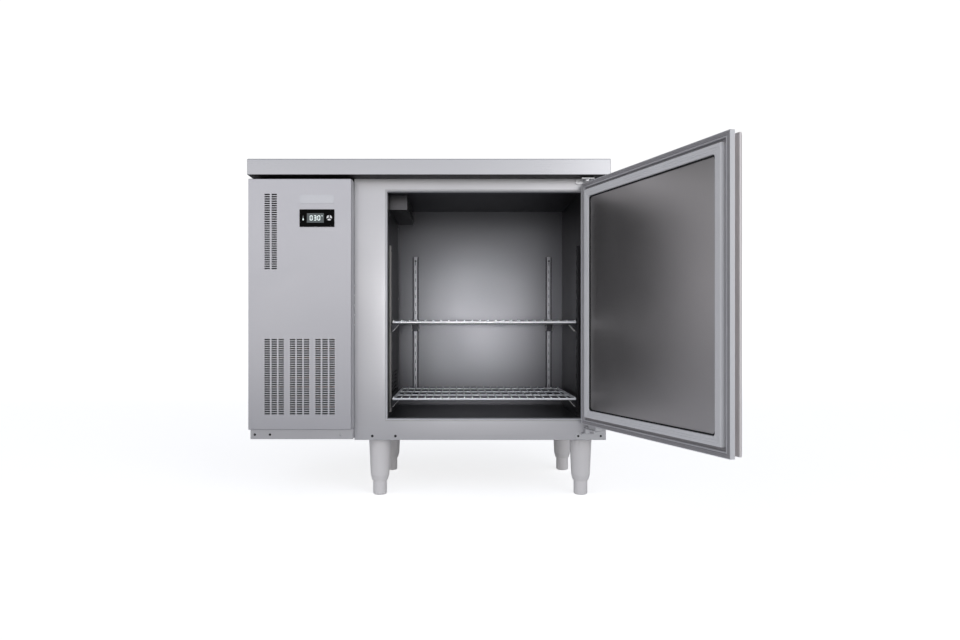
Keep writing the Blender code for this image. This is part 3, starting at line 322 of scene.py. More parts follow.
M = {
    "worktop": brushed("worktop_steel", (0.56, 0.56, 0.575), 0.33, "X"),
    "cabinet": brushed("cabinet_steel", (0.64, 0.635, 0.65), 0.40, "X"),
    "cover": brushed("cover_steel", (0.605, 0.60, 0.625), 0.42, "X"),
    "door": brushed("door_steel", (0.50, 0.505, 0.53), 0.38, "X"),
    # Painted shade: the cavity's liner and side-wall steel get a near-black base colour that stands in for
    # the shade inside the cabinet.
    "liner": brushed("liner_steel", (0.108, 0.108, 0.116), 0.36, "X"),
    "liner_side": brushed("liner_side_steel", (0.112, 0.110, 0.114), 0.34, "Y"),
    "door_liner": finish("door_liner_steel", (0.70, 0.675, 0.67), 0.33, 0.94, (900, 900, 90), 0.02, 0.02,
                         cloud=2.2, cloud_tint=0.05, cloud_rough=0.03),
    "fitting": brushed("fitting_steel", (0.70, 0.70, 0.71), 0.34, "Z"),
    "standard": brushed("standard_steel", (0.23, 0.23, 0.245), 0.36, "Z"),
    # Painted shade: near-black steel for the clips, the standards' side flanges and the front-right standard,
    # standing in for the shade on them.
    "clip": brushed("near_black_steel_painted_shade", (0.030, 0.030, 0.033), 0.34, "Z"),
    # Painted light: a lighter, warmer copy of the standard steel for the front-left standard, standing in for
    # the warm light on the cavity's left front.
    "warm_lit_standard": finish("standard_steel_painted_warm_light", (0.27, 0.26, 0.245), 0.46, 0.3),
    # Painted highlight: a light copy of the clip steel for the clips' rolled edges, standing in for the light
    # caught along them.
    "clip_edge": finish("clip_edge_painted_highlight", (0.70, 0.69, 0.67), 0.40, 0.35),
    "wire": finish("wire_steel", (0.90, 0.905, 0.91), 0.32, 0.7, grain=700, grain_bump=0.04),
    "screw": finish("screw_steel", (0.62, 0.62, 0.63), 0.28, 1.0, grain=3000, grain_bump=0.03),
    "galvanised": finish("galvanised_sheet", (0.46, 0.47, 0.48), 0.46, 1.0, grain=260,
                         grain_tint=0.16, grain_rough=0.12, cloud=14, cloud_tint=0.10, detail=1.0),
    "fins": finish("fin_aluminium", (0.62, 0.63, 0.64), 0.38, 1.0, grain=(60, 1400, 60)),
    "handle": finish("handle_aluminium", (0.84, 0.80, 0.785), 0.45, 0.2, grain=(1500, 1500, 12)),
    "copper": finish("copper_tube", (0.66, 0.36, 0.22), 0.30, 1.0, grain=300, cloud=22, cloud_tint=0.16,
                     cloud_rough=0.12),
    "enamel": finish("black_enamel", (0.018, 0.018, 0.019), 0.38, grain=420, grain_bump=0.10),
    "black": finish("black_plastic", (0.003, 0.003, 0.003), 0.30, grain=2400, grain_bump=0.06,
                    Specular_IOR_Level=0.04),
    "frame": finish("frame_plastic", (0.88, 0.875, 0.885), 0.42, grain=1400),
    "strip": finish("strip_plastic", (0.66, 0.66, 0.67), 0.38, grain=1400),
    "legs": finish("leg_plastic", (0.94, 0.915, 0.90), 0.38, grain=1100, grain_bump=0.08, cloud=12),
    "button": finish("button_plastic", (0.96, 0.96, 0.95), 0.30, grain=2000, grain_bump=0.03),
    "gasket": finish("gasket_rubber", (0.40, 0.385, 0.40), 0.55, grain=1300, grain_bump=0.12),
    # Painted highlight: a lighter copy of the gasket rubber for the door's magnet lip, standing in for the
    # light on it; the cover's foam tape uses it too.
    "gasket_light": finish("gasket_magnet_lip", (0.62, 0.615, 0.63), 0.50, grain=1300, grain_bump=0.08),
    "trim": finish("rim_trim_plastic", (0.76, 0.76, 0.77), 0.36, grain=1300, grain_bump=0.04),
    "lens": finish("display_glass", (0.115, 0.135, 0.135), 0.16, grain=500, grain_bump=0.0, cloud=60),
    "digits": finish("display_segments", (0.80, 0.88, 0.86), 0.4, Emission_Color=(0.75, 0.85, 0.83, 1.0),
                     Emission_Strength=0.85),
    "foam": finish("insulation", (0.78, 0.70, 0.46), 0.92, grain=240, grain_bump=0.6, cloud=30),
    "plywood": finish("film_faced_plywood", (0.030, 0.026, 0.024), 0.55, grain=(260, 260, 700),
                      grain_bump=0.25, grain_tint=0.25, cloud=9, cloud_tint=0.2),
    # Painted shade: near-black for the discs set in the spare holes and base holes.
    "dark": finish("hole_painted_shade", (0.012, 0.012, 0.013), 0.7),
    "plate": brushed("blank_plate_aluminium", (0.60, 0.605, 0.63), 0.36, "X"),
    "rubber": finish("black_rubber", (0.02, 0.02, 0.02), 0.75, grain_bump=0.15),
}


# ---------------- mesh helpers


def box_of(node):
    """Lowest corner, highest corner and middle of a CAD node."""
    low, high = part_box(node)
    return low, high, (low + high) / 2


def smooth(mesh, angle):
    """Shade a mesh smooth below an angle in degrees."""
    mesh.shade_smooth()
    mesh.set_sharp_from_angle(angle=math.radians(angle))


def mesh_of(bm, name, smooth_angle, turn_outwards=True):
    """Mesh data from a bmesh."""
    if turn_outwards:
        bmesh.ops.recalc_face_normals(bm, faces=bm.faces)
    mesh = bpy.data.meshes.new(name)
    bm.to_mesh(mesh)
    bm.free()
    smooth(mesh, smooth_angle)
    return mesh


def ride(name, mesh, material, body, replaces):
    """Put a mesh into the scene as a piece of a body."""
    mesh.materials.append(M[material])
    thing = bpy.data.objects.new(name, mesh)
    bpy.context.scene.collection.objects.link(thing)
    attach(thing, body)
    if replaces:
        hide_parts(*replaces)
    return thing


def keep_sharp(thing):
    thing.modifiers.new("normals", "WEIGHTED_NORMAL").keep_sharp = True


def piece(name, bm, material, body, replaces=(), matrix=None, smooth_angle=35):
    """Make a piece from a bmesh, in the row frame, riding on a body."""
    if matrix is not None:
        bmesh.ops.transform(bm, matrix=matrix, verts=bm.verts)
    thing = ride(name, mesh_of(bm, name, smooth_angle), material, body, replaces)
    keep_sharp(thing)
    return thing


def thicken(thing, thickness, offset, smooth_angle=35):
    """Give a sheet its thickness, and apply that to its mesh."""
    shell = thing.modifiers.new("thickness", "SOLIDIFY")
    shell.thickness = thickness
    shell.offset = offset
    bpy.context.view_layer.update()
    shape = thing.evaluated_get(bpy.context.evaluated_depsgraph_get())
    mesh = bpy.data.meshes.new_from_object(shape)
    thing.modifiers.clear()
    thing.data = mesh
    smooth(mesh, smooth_angle)
    keep_sharp(thing)


def facing(origin, out, up=UP):
    """Matrix from a local frame (x across, y up, z out) to the row frame."""
    across = Vector(up).cross(Vector(out))
    columns = (across, Vector(up), Vector(out))
    matrix = Matrix([[column[row] for column in columns] for row in range(3)]).to_4x4()
    return Matrix.Translation(origin) @ matrix


def closed_box(node):
    """Lowest and highest corner of a door node with the door closed."""
    back = DOOR_OPEN.inverted()
    points = [back @ vert.co for vert in NODES[node].data.vertices]
    low = Vector([min(point[axis] for point in points) for axis in range(3)])
    high = Vector([max(point[axis] for point in points) for axis in range(3)])
    return low, high


def add_box(bm, low, high, radius=0.0, segments=2):
    """Add a box with rounded edges to a bmesh."""
    size = Vector(high) - Vector(low)
    matrix = Matrix.Translation((Vector(low) + Vector(high)) / 2) @ Matrix.Diagonal((*size, 1.0))
    verts = bmesh.ops.create_cube(bm, size=1.0, matrix=matrix)["verts"]
    if radius:
        edges = list({edge for vert in verts for edge in vert.link_edges})
        bmesh.ops.bevel(bm, geom=edges, offset=radius, segments=segments, profile=0.5, affect="EDGES")


def join_rings(bm, here, there):
    """Faces between two closed rings, one of which may be a single point."""
    sides = max(len(here), len(there))
    for step in range(sides):
        after = (step + 1) % sides
        steps = ((here, step), (here, after), (there, after), (there, step))
        corners = dict.fromkeys(ring[number % len(ring)] for ring, number in steps)
        bm.faces.new(list(corners))


def ring_points(sides):
    """Cosine and sine of evenly spaced angles round a circle."""
    angles = [2 * math.pi * step / sides for step in range(sides)]
    return [(math.cos(angle), math.sin(angle)) for angle in angles]


def add_turned(bm, profile, matrix, sides=SMOOTH_SIDES, ring=False):
    """Add a turned shape: (radius, height) pairs about the local z axis."""
    rings = []
    for radius, height in profile:
        spots = ring_points(sides) if radius else [(0, 0)]
        rings.append([bm.verts.new(matrix @ Vector((radius * x, radius * y, height))) for x, y in spots])
    for lower, upper in zip(rings, rings[1:] + (rings[:1] if ring else [])):
        join_rings(bm, lower, upper)


def aimed(start, direction):
    """Matrix whose local z axis leaves start along direction."""
    turn = Vector(direction).to_track_quat("Z", "Y").to_matrix().to_4x4()
    return Matrix.Translation(start) @ turn


def add_rod(bm, start, end, radius, sides=16):
    """Add a round rod with softened ends."""
    length = (Vector(end) - Vector(start)).length
    edge = radius * 0.35
    profile = [(0, 0), (radius - edge, 0), (radius, edge), (radius, length - edge), (radius - edge, length),
               (0, length)]
    add_turned(bm, profile, aimed(start, Vector(end) - Vector(start)), sides)


def arc_points(centre, radius, start, end, steps):
    """Points on an arc, angles in degrees."""
    angles = [math.radians(start + (end - start) * step / steps) for step in range(steps + 1)]
    return [(centre[0] + radius * math.cos(a), centre[1] + radius * math.sin(a)) for a in angles]


def quadratic(first, corner, last, t):
    """A point of the curve from first to last that a corner pulls out."""
    return first * (1 - t) ** 2 + corner * 2 * t * (1 - t) + last * t**2


def rounded_outline(points, radii, steps=4):
    """A polygon whose corners are rounded by quadratic arcs of about the given radii."""
    outline = []
    for number, point in enumerate(points):
        here = Vector(point)
        before = Vector(points[number - 1]) - here
        after = Vector(points[(number + 1) % len(points)]) - here
        radius = radii[number] if isinstance(radii, (list, tuple)) else radii
        reach = min(radius, before.length * 0.48, after.length * 0.48)
        if reach <= 0:
            outline.append(here)
            continue
        first = here + before.normalized() * reach
        last = here + after.normalized() * reach
        for step in range(steps + 1):
            outline.append(quadratic(first, here, last, step / steps))
    return outline


def plate_outline(half, bottom, top, radius, steps=4):
    """A rectangle with rounded corners, from -half to half and from bottom to top."""
    return rounded_outline([(-half, bottom), (half, bottom), (half, top), (-half, top)], radius, steps)


def add_extruded(bm, outline, matrix, length, edge=0.0):
    """Add an outline in the local xy plane, extruded along local z, with a small edge rounding."""
    bottom = [bm.verts.new(matrix @ Vector((x, y, 0))) for x, y in outline]
    top = [bm.verts.new(matrix @ Vector((x, y, length))) for x, y in outline]
    low = bm.faces.new(bottom[::-1])
    high = bm.faces.new(top)
    join_rings(bm, bottom, top)
    if edge:
        edges = list(set(low.edges) | set(high.edges))
        bmesh.ops.bevel(bm, geom=edges, offset=edge, segments=2, profile=0.5, affect="EDGES")


def corner_ring(bm, x_range, z_range, inset, y, radius=0.0):
    """One round-cornered rectangle of vertices in the xz plane."""
    ring = []
    for corner in range(4):
        right = corner in (1, 2)
        high = corner in (2, 3)
        x = x_range[right] + (-1 if right else 1) * (inset + radius)
        z = z_range[high] + (-1 if high else 1) * (inset + radius)
        for px, pz in arc_points((x, z), radius, 180 + 90 * corner, 270 + 90 * corner, 6):
            ring.append(bm.verts.new((px, y, pz)))
    return ring


def add_frame(bm, x_range, z_range, section):
    """Add a frame in the xz plane; its closed section lists inset, y and any corner radius."""
    rings = [corner_ring(bm, x_range, z_range, *corner) for corner in section]
    for here, there in zip(rings, rings[1:] + rings[:1]):
        join_rings(bm, here, there)
    bmesh.ops.remove_doubles(bm, verts=[vert for ring in rings for vert in ring], dist=1e-6)


def add_panel(bm, x_range, z_range, section):
    """Add a panel in the xz plane; its section lists inset, y and corner radius from back to face."""
    rings = [corner_ring(bm, x_range, z_range, *corner) for corner in section]
    for here, there in zip(rings, rings[1:]):
        join_rings(bm, here, there)
    bm.faces.new(rings[0][::-1])
    bm.faces.new(rings[-1])


def hole_lines(low, high, holes, axis):
    """Sorted grid lines along one axis: the sheet's ends and every hole's edges."""
    lines = {round(low, 6), round(high, 6)}
    for hole in holes:
        lines.update(round(value, 6) for value in hole[axis])
    return sorted(lines)


def round_hole_corners(bm, holes, radius, steps=3):
    """Fill each hole's corners with a small fillet, in the flat sheet."""
    corners = {(round(x, 6), round(y, 6)) for x_range, y_range in holes for x in x_range for y in y_range}
    verts = [vert for vert in bm.verts if (round(vert.co.x, 6), round(vert.co.y, 6)) in corners]
    for vert in verts:
        rims = [edge for edge in vert.link_edges if edge.is_boundary]
        if len(rims) != 2:
            continue
        ends = []
        for edge in rims:
            share = min(0.45, radius / edge.calc_length())
            _, new = bmesh.utils.edge_split(edge, vert, share)
            ends.append(new)
        curve = []
        for step in range(1, steps):
            curve.append(bm.verts.new(quadratic(ends[0].co, vert.co, ends[1].co, step / steps)))
        bm.faces.new([vert, ends[0], *curve, ends[1]])


def folded_sheet(name, x_range, y_range, matrix, material, body, depth=0.0, sides="LRTB", holes=(),
                 thickness=SHEET, bend=BEND, hole_round=0.0, replaces=()):
    """A sheet facing local +z with punched holes, its chosen sides folded back, as one thick shell."""
    bm = bmesh.new()
    xs = hole_lines(*x_range, holes, 0)
    ys = hole_lines(*y_range, holes, 1)
    grid = [[bm.verts.new((x, y, 0)) for y in ys] for x in xs]
    for i in range(len(xs) - 1):
        for j in range(len(ys) - 1):
            x = (xs[i] + xs[i + 1]) / 2
            y = (ys[j] + ys[j + 1]) / 2
            if not any(hx[0] < x < hx[1] and hy[0] < y < hy[1] for hx, hy in holes):
                bm.faces.new((grid[i][j], grid[i + 1][j], grid[i + 1][j + 1], grid[i][j + 1]))
    bmesh.ops.delete(bm, geom=[vert for vert in bm.verts if not vert.link_faces], context="VERTS")
    if hole_round:
        round_hole_corners(bm, holes, hole_round)
    if depth:
        ends = {"L": (0, xs[0]), "R": (0, xs[-1]), "B": (1, ys[0]), "T": (1, ys[-1])}
        rims = []
        for edge in bm.edges:
            for side in sides:
                axis, value = ends[side]
                if all(abs(vert.co[axis] - value) < 1e-7 for vert in edge.verts):
                    rims.append(edge)
        swept = bmesh.ops.extrude_edge_only(bm, edges=rims)["geom"]
        moved = [item for item in swept if isinstance(item, bmesh.types.BMVert)]
        bmesh.ops.translate(bm, vec=(0, 0, -depth), verts=moved)
        bmesh.ops.recalc_face_normals(bm, faces=bm.faces)
        corners = []
        for edge in bm.edges:
            if len(edge.link_faces) == 2 and edge.calc_face_angle(0) > 1:
                corners.append(edge)
        bmesh.ops.bevel(bm, geom=corners, offset=bend, segments=4, profile=0.5, affect="EDGES")
    bmesh.ops.recalc_face_normals(bm, faces=bm.faces)
    front = max(bm.faces, key=lambda face: face.calc_center_median().z + face.calc_area())
    if front.normal.z < 0:
        bmesh.ops.reverse_faces(bm, faces=bm.faces)
    bmesh.ops.transform(bm, matrix=matrix, verts=bm.verts)
    mesh = mesh_of(bm, name, 35, turn_outwards=False)
    thicken(ride(name, mesh, material, body, replaces), thickness, -1.0)


def keep_node(name, material, bevel, segments=2):
    """Give a CAD node its material, and soften its edges with modifiers."""
    node = NODES[name]
    node.data.materials.clear()
    node.data.materials.append(M[material])
    node.modifiers.new("weld", "WELD").merge_threshold = 0.00001
    if bevel:
        soft = node.modifiers.new("soft_edges", "BEVEL")
        soft.width = bevel
        soft.segments = segments
        soft.limit_method = "ANGLE"
        soft.angle_limit = math.radians(32)
        soft.harden_normals = False
    keep_sharp(node)


def box_piece(name, low, high, radius, material, segments=2):
    """One rounded box as a piece of the cabinet."""
    bm = bmesh.new()
    add_box(bm, low, high, radius, segments)
    piece(name, bm, material, "cabinet")


def turned_pieces(name, profile, places):
    """The same near-black turned shape at each place, painted shade for a hole, as one piece of the cabinet.
    """
    bm = bmesh.new()
    for place in places:
        add_turned(bm, profile, place, 28)
    piece(name, bm, "dark", "cabinet")


def add_screw(bm, place, out, radius):
    """Add a pan head screw with a cross recess, its head standing on place."""
    height = radius * 0.32
    matrix = aimed(place, out)
    dome = [(0, -0.0004), (radius * 0.9, -0.0004), (radius, 0.0)]
    for step in range(1, 6):
        angle = math.pi / 2 * step / 6
        dome.append((radius * math.cos(angle) * 0.92 + radius * 0.08, height * math.sin(angle)))
    rim = radius * 0.34
    dome += [(rim, height), (rim * 0.75, height * 0.45), (0, height * 0.3)]
    add_turned(bm, dome, matrix, 20)
    for turn in (0, math.pi / 2):
        bar = matrix @ Matrix.Rotation(turn, 4, "Z")
        low = Vector((-rim * 1.5, -rim * 0.28, height * 0.35))
        high = Vector((rim * 1.5, rim * 0.28, height * 1.02))
        verts = bmesh.ops.create_cube(bm, size=1.0)["verts"]
        size = Matrix.Diagonal((*(high - low), 1.0))
        bmesh.ops.transform(bm, matrix=bar @ Matrix.Translation((low + high) / 2) @ size, verts=verts)


def screws(name, places, out, body, radius, matrix=None, material="screw"):
    """One piece with a screw at each place."""
    bm = bmesh.new()
    for place in places:
        add_screw(bm, place, out, radius)
    piece(name, bm, material, body, matrix=matrix)


# ---------------- cabinet


def make_worktop():
    low, high, middle = box_of("worktop")
    half = (high - low) / 2
    matrix = facing((middle.x, middle.y, high.z), (0, 0, 1), (0, 1, 0))
    folded_sheet("worktop_tray", (-half.x, half.x), (-half.y, half.y), matrix, "worktop", "cabinet",
                 depth=high.z - low.z, thickness=0.0012, bend=0.0022, replaces=["worktop"])


def make_evaporator_cover():
    """Punched cover sheet, with a pressed hood over each intake louvre."""
    low, high, centre = box_of("evaporator_cover")
    half_y = (high.y - low.y) / 2
    half_z = (high.z - low.z) / 2
    duct = (DUCT_HOLE_Y[0] - centre.y, DUCT_HOLE_Y[1] - centre.y)
    holes = [(duct, (DUCT_HOLE_Z[0] - centre.z, DUCT_HOLE_Z[1] - centre.z))]
    hoods = bmesh.new()
    crest = LOUVRE_HEIGHT * 1.5
    hood = [(0, crest), (HOOD_DEPTH * 0.6, crest - 0.0004), (HOOD_DEPTH * 0.95, crest * 0.62),
            (HOOD_DEPTH, 0.0003), (HOOD_DEPTH - 0.0007, 0.0003), (HOOD_DEPTH * 0.72, crest * 0.55),
            (0, crest - 0.0010)]
    for row in range(LOUVRE_ROWS):
        z = LOUVRE_BOTTOM + row * LOUVRE_PITCH
        rise = z - centre.z
        holes.append(((LOUVRE_Y[0] - centre.y, LOUVRE_Y[1] - centre.y), (rise, rise + LOUVRE_HEIGHT)))
        strip = facing((high.x, LOUVRE_Y[0], z), (0, 1, 0), (0, 0, 1))
        add_extruded(hoods, hood, strip, LOUVRE_Y[1] - LOUVRE_Y[0])
    matrix = facing((high.x, centre.y, centre.z), (1, 0, 0))
    folded_sheet("evaporator_cover_sheet", (-half_y, half_y), (-half_z, half_z), matrix, "liner_side",
                 "cabinet", holes=holes, hole_round=0.0008, replaces=["evaporator_cover"])
    piece("intake_hoods", hoods, "liner_side", "cabinet", smooth_angle=50)


def make_standards():
    """Slotted channels with a flange along each side, and their clips."""
    for place in CORNERS:
        low, high, centre = box_of(f"shelf_standard_{place}")
        if place.startswith("rear"):
            out = (0, -1, 0)
            origin = (centre.x, low.y, centre.z)
            width = high.x - low.x
            depth = high.y - low.y
        else:
            on_right = place.endswith("right")
            out = (-1, 0, 0) if on_right else (1, 0, 0)
            origin = (low.x if on_right else high.x, centre.y, centre.z)
            width = high.y - low.y
            depth = high.x - low.x
        length = high.z - low.z
        matrix = facing(origin, out)
        slots = []
        across, along = STANDARD_SLOT_HALF
        for slot in range(STANDARD_SLOTS):
            z = (slot - (STANDARD_SLOTS - 1) / 2) * STANDARD_PITCH
            slots.append(((-across, across), (z - along, z + along)))
        half = width / 2 - FLANGE
        # Lit and shaded copies of the standard steel: the front-left standard is painted lighter and warmer
        # as painted light, the front-right one near-black as painted shade.
        steel = {"front_left": "warm_lit_standard", "front_right": "clip"}.get(place, "standard")
        folded_sheet(f"standard_{place}", (-half, half), (-length / 2, length / 2), matrix, steel,
                     "cabinet", depth=depth, sides="LR", holes=slots,
                     thickness=STANDARD_SHEET, bend=STANDARD_SHEET, hole_round=0.0010,
                     replaces=[f"shelf_standard_{place}"])
        # The side flanges are near-black: painted shadow lines along each channel.
        bm = bmesh.new()
        for side in (-1, 1):
            left, right = sorted((side * (half + 0.0001), side * width / 2))
            add_box(bm, (left, -length / 2, -depth), (right, length / 2, STANDARD_SHEET - depth), 0.0003)
        piece(f"standard_flanges_{place}", bm, "clip", "cabinet", matrix=matrix)
        ends = [(0, end * (length / 2 - STANDARD_SCREW), 0) for end in (-1, 1)]
        screws(f"standard_screws_{place}", ends, UP, "cabinet", 0.0030, matrix, "enamel")
        for level in ("upper", "lower"):
            make_clip(level, place, out)


def make_clip(level, place, out):
    """A bent sheet gusset: two triangular cheeks, a shelf-bearing top and a rolled front edge."""
    node = f"{level}_clip_{place}"
    low, high, centre = box_of(node)
    out = Vector(out)
    up = Vector(UP)
    across = up.cross(out)
    width = abs((high - low).dot(across))
    depth = abs((high - low).dot(out))
    height = high.z - low.z
    base = Vector((centre.x, centre.y, high.z)) - out * depth / 2
    cheek = rounded_outline([(0, 0), (depth, 0), (depth, -CLIP_NOSE), (CLIP_FOOT, -height), (0, -height)],
                            [0.0, 0.0012, 0.0010, 0.0012, 0.0])
    axes = Matrix([[out[row], up[row], across[row]] for row in range(3)]).to_4x4()
    bm = bmesh.new()
    for start in (-width / 2, width / 2 - CLIP_SHEET):
        add_extruded(bm, cheek, Matrix.Translation(base + across * start) @ axes, CLIP_SHEET, 0.0003)
    for ends in (
        (base + across * width / 2 - up * CLIP_SHEET, base - across * width / 2 + out * depth),
        (base + across * width / 2 + out * 0.0012 - up * height, base - across * width / 2),
    ):
        add_box(bm, [min(pair) for pair in zip(*ends)], [max(pair) for pair in zip(*ends)], 0.0004)
    # The clip body is near-black steel: painted shade.
    piece(f"clip_{level}_{place}", bm, "clip", "cabinet", replaces=[node])
    # Rolled edges in the light clip-edge colour: a painted highlight.
    bm = bmesh.new()
    for side in (-1, 1):
        rim = base + across * side * (width / 2 - CLIP_EDGE)
        add_rod(bm, rim + out * (CLIP_FOOT + CLIP_EDGE) - up * (height - CLIP_EDGE),
                rim + out * (depth - CLIP_EDGE * 0.5) - up * CLIP_NOSE, CLIP_EDGE, 12)
    piece(f"clip_edge_{level}_{place}", bm, "clip_edge", "cabinet")


def make_shelf(level):
    """Round cross rods and side rods, with finer wires welded on top."""
    node = f"{level}_shelf"
    low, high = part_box(node)
    bm = bmesh.new()
    z = low.z + ROD
    for number in range(SHELF_RODS):
        y = low.y + ROD + number * (high.y - low.y - 2 * ROD) / (SHELF_RODS - 1)
        add_rod(bm, (low.x, y, z), (high.x, y, z), ROD)
    for x in (low.x + ROD, high.x - ROD):
        add_rod(bm, (x, low.y + ROD, z), (x, high.y - ROD, z), ROD)
    for number in range(SHELF_WIRES):
        x = low.x + ROD + number * (high.x - low.x - 2 * ROD) / (SHELF_WIRES - 1)
        top = z + ROD + WIRE - 0.0004
        add_rod(bm, (x, low.y + 0.0006, top), (x, high.y - 0.0006, top), WIRE, 12)
    piece(f"wire_{node}", bm, "wire", node, replaces=[node])


# ---------------- machine compartment


def cover_slots():
    """The two grilles' slots, in the row frame's x and z."""
    middle = box_of("machine_cover")[2].x
    places = [(group, column, LOWER_GRILLE) for group in (-1, 0, 1) for column in (-1, 0, 1)]
    places += [(-1, column, UPPER_GRILLE) for column in (-1, 0)]
    slots = []
    for group, column, bottom in places:
        x = middle + group * SLOT_GROUP_PITCH + column * SLOT_COLUMN_PITCH
        slots += [(x, bottom + row * SLOT_ROW_PITCH) for row in range(SLOT_ROWS)]
    return slots


def make_machine_casing():
    low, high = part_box("machine_cover")
    bezel_low, bezel_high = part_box("display_bezel")
    width, height = SLOT
    holes = [((x - width / 2, x + width / 2), (z - height / 2, z + height / 2)) for x, z in cover_slots()]
    lip = 0.0017
    holes.append(((bezel_low.x + lip, bezel_high.x - lip), (bezel_low.z + lip, bezel_high.z - lip)))
    matrix = facing((0, low.y, 0), FRONT)
    folded_sheet("cover_panel", (low.x, high.x), (low.z, high.z), matrix, "cover", "cabinet",
                 depth=high.y - low.y, holes=holes, hole_round=SLOT_ROUND,
                 replaces=["machine_cover"])


def add_tube(bm, points, radius, sides=12):
    """Sweep a round tube along points that lie in one plane or turn gently."""
    points = [Vector(point) for point in points]
    first = points[1] - points[0]
    side = first.orthogonal().normalized()
    rings = []
    for number, point in enumerate(points):
        before = points[max(number - 1, 0)]
        after = points[min(number + 1, len(points) - 1)]
        ahead = (after - before).normalized()
        side = (side - ahead * side.dot(ahead)).normalized()
        up = ahead.cross(side)
        rings.append([bm.verts.new(point + (side * x + up * y) * radius) for x, y in ring_points(sides)])
    for here, there in zip(rings, rings[1:]):
        join_rings(bm, here, there)
    bm.faces.new(rings[0][::-1])
    bm.faces.new(rings[-1])


def make_coil(node, axis):
    """Finned coil: thin fins between two end plates, with one copper tube that runs to and fro."""
    low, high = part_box(node)
    thin = "Y" if axis == "X" else "X"
    along, across = "XYZ".index(axis), "XYZ".index(thin)

    def spot(a, b, z):
        point = [0.0, 0.0, z]
        point[along] = a
        point[across] = b
        return Vector(point)

    ends = (low[along] + COIL_BEND, high[along] - COIL_BEND)
    sides = (low[across], high[across])
    bm = bmesh.new()
    count = int((ends[1] - ends[0]) / FIN_PITCH)
    for fin in range(1, count):
        a = ends[0] + (ends[1] - ends[0]) * fin / count
        add_box(bm, spot(a - FIN_SHEET / 2, sides[0] + 0.001, low.z + 0.002),
                spot(a + FIN_SHEET / 2, sides[1] - 0.001, high.z - 0.002))
    piece(f"{node}_fins", bm, "fins", "cabinet", replaces=[node])
    bm = bmesh.new()
    for end in ends:
        add_box(bm, spot(end - 0.0007, sides[0], low.z), spot(end + 0.0007, sides[1], high.z), 0.0002)
    for z in (low.z, high.z - 0.0012):
        add_box(bm, spot(ends[0] + 0.001, sides[0], z), spot(ends[1] - 0.001, sides[1], z + 0.0012), 0.0002)
    piece(f"{node}_end_plates", bm, "galvanised", "cabinet")
    bm = bmesh.new()
    rows = int((high.z - low.z - TUBE_PITCH) / TUBE_PITCH) + 1
    bottom = (low.z + high.z) / 2 - (rows - 1) * TUBE_PITCH / 2
    for column in (0.27, 0.73):
        b = sides[0] + (sides[1] - sides[0]) * column
        route = []
        for row in range(rows):
            z = bottom + row * TUBE_PITCH
            right = row % 2 == 0
            start, stop = (ends if right else ends[::-1])
            route += [spot(start, b, z), spot(stop, b, z)]
            if row < rows - 1:
                sign = 1 if right else -1
                reach = COIL_BEND - TUBE - 0.001
                half = TUBE_PITCH / 2
                for out, up in arc_points((0, 1), 1, -90, 90, 10)[1:-1]:
                    route.append(spot(stop + sign * reach * out, b, z + half * up))
        add_tube(bm, route, TUBE)
    piece(f"{node}_tubes", bm, "copper", "cabinet", smooth_angle=50)


def make_fan(node, body, axis, hub_radius, tip_radius, depth, blades, material):
    """Fan wheel: a domed hub, and swept and twisted sheet blades."""
    low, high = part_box(node)
    matrix = aimed((low + high) / 2, (0, -1, 0) if axis == "Y" else (1, 0, 0))
    bm = bmesh.new()
    half = depth / 2
    hub = [(0.0036, -half), (hub_radius - 0.001, -half), (hub_radius, -half + 0.001),
           (hub_radius, half - 0.004), (hub_radius * 0.93, half - 0.0015), (hub_radius * 0.8, half),
           (0.0036, half)]
    add_turned(bm, hub, matrix, 48, ring=True)
    piece(f"{node}_hub", bm, material, body, replaces=[node])
    bm = bmesh.new()
    for blade in range(blades):
        grid = []
        for i in range(BLADE_STEPS + 1):
            out = i / BLADE_STEPS
            radius = hub_radius * 0.96 + (tip_radius - hub_radius * 0.96) * out
            chord = radius * math.pi * 1.1 / blades * (1 - 0.45 * out**5)
            sweep = 0.35 * out
            row = []
            for j in range(BLADE_STEPS + 1):
                t = j / BLADE_STEPS - 0.5
                angle = 2 * math.pi * blade / blades + sweep + t * chord / radius
                rise = t * depth * (1.05 - 0.2 * out) + 0.10 * depth * (1 - 4 * t * t)
                point = Vector((radius * math.cos(angle), radius * math.sin(angle), rise))
                row.append(bm.verts.new(matrix @ point))
            grid.append(row)
        for here, there in zip(grid, grid[1:]):
            for j in range(BLADE_STEPS):
                bm.faces.new((here[j], there[j], there[j + 1], here[j + 1]))
    thicken(piece(f"{node}_blades", bm, material, body), BLADE_SHEET, 0.0, 50)


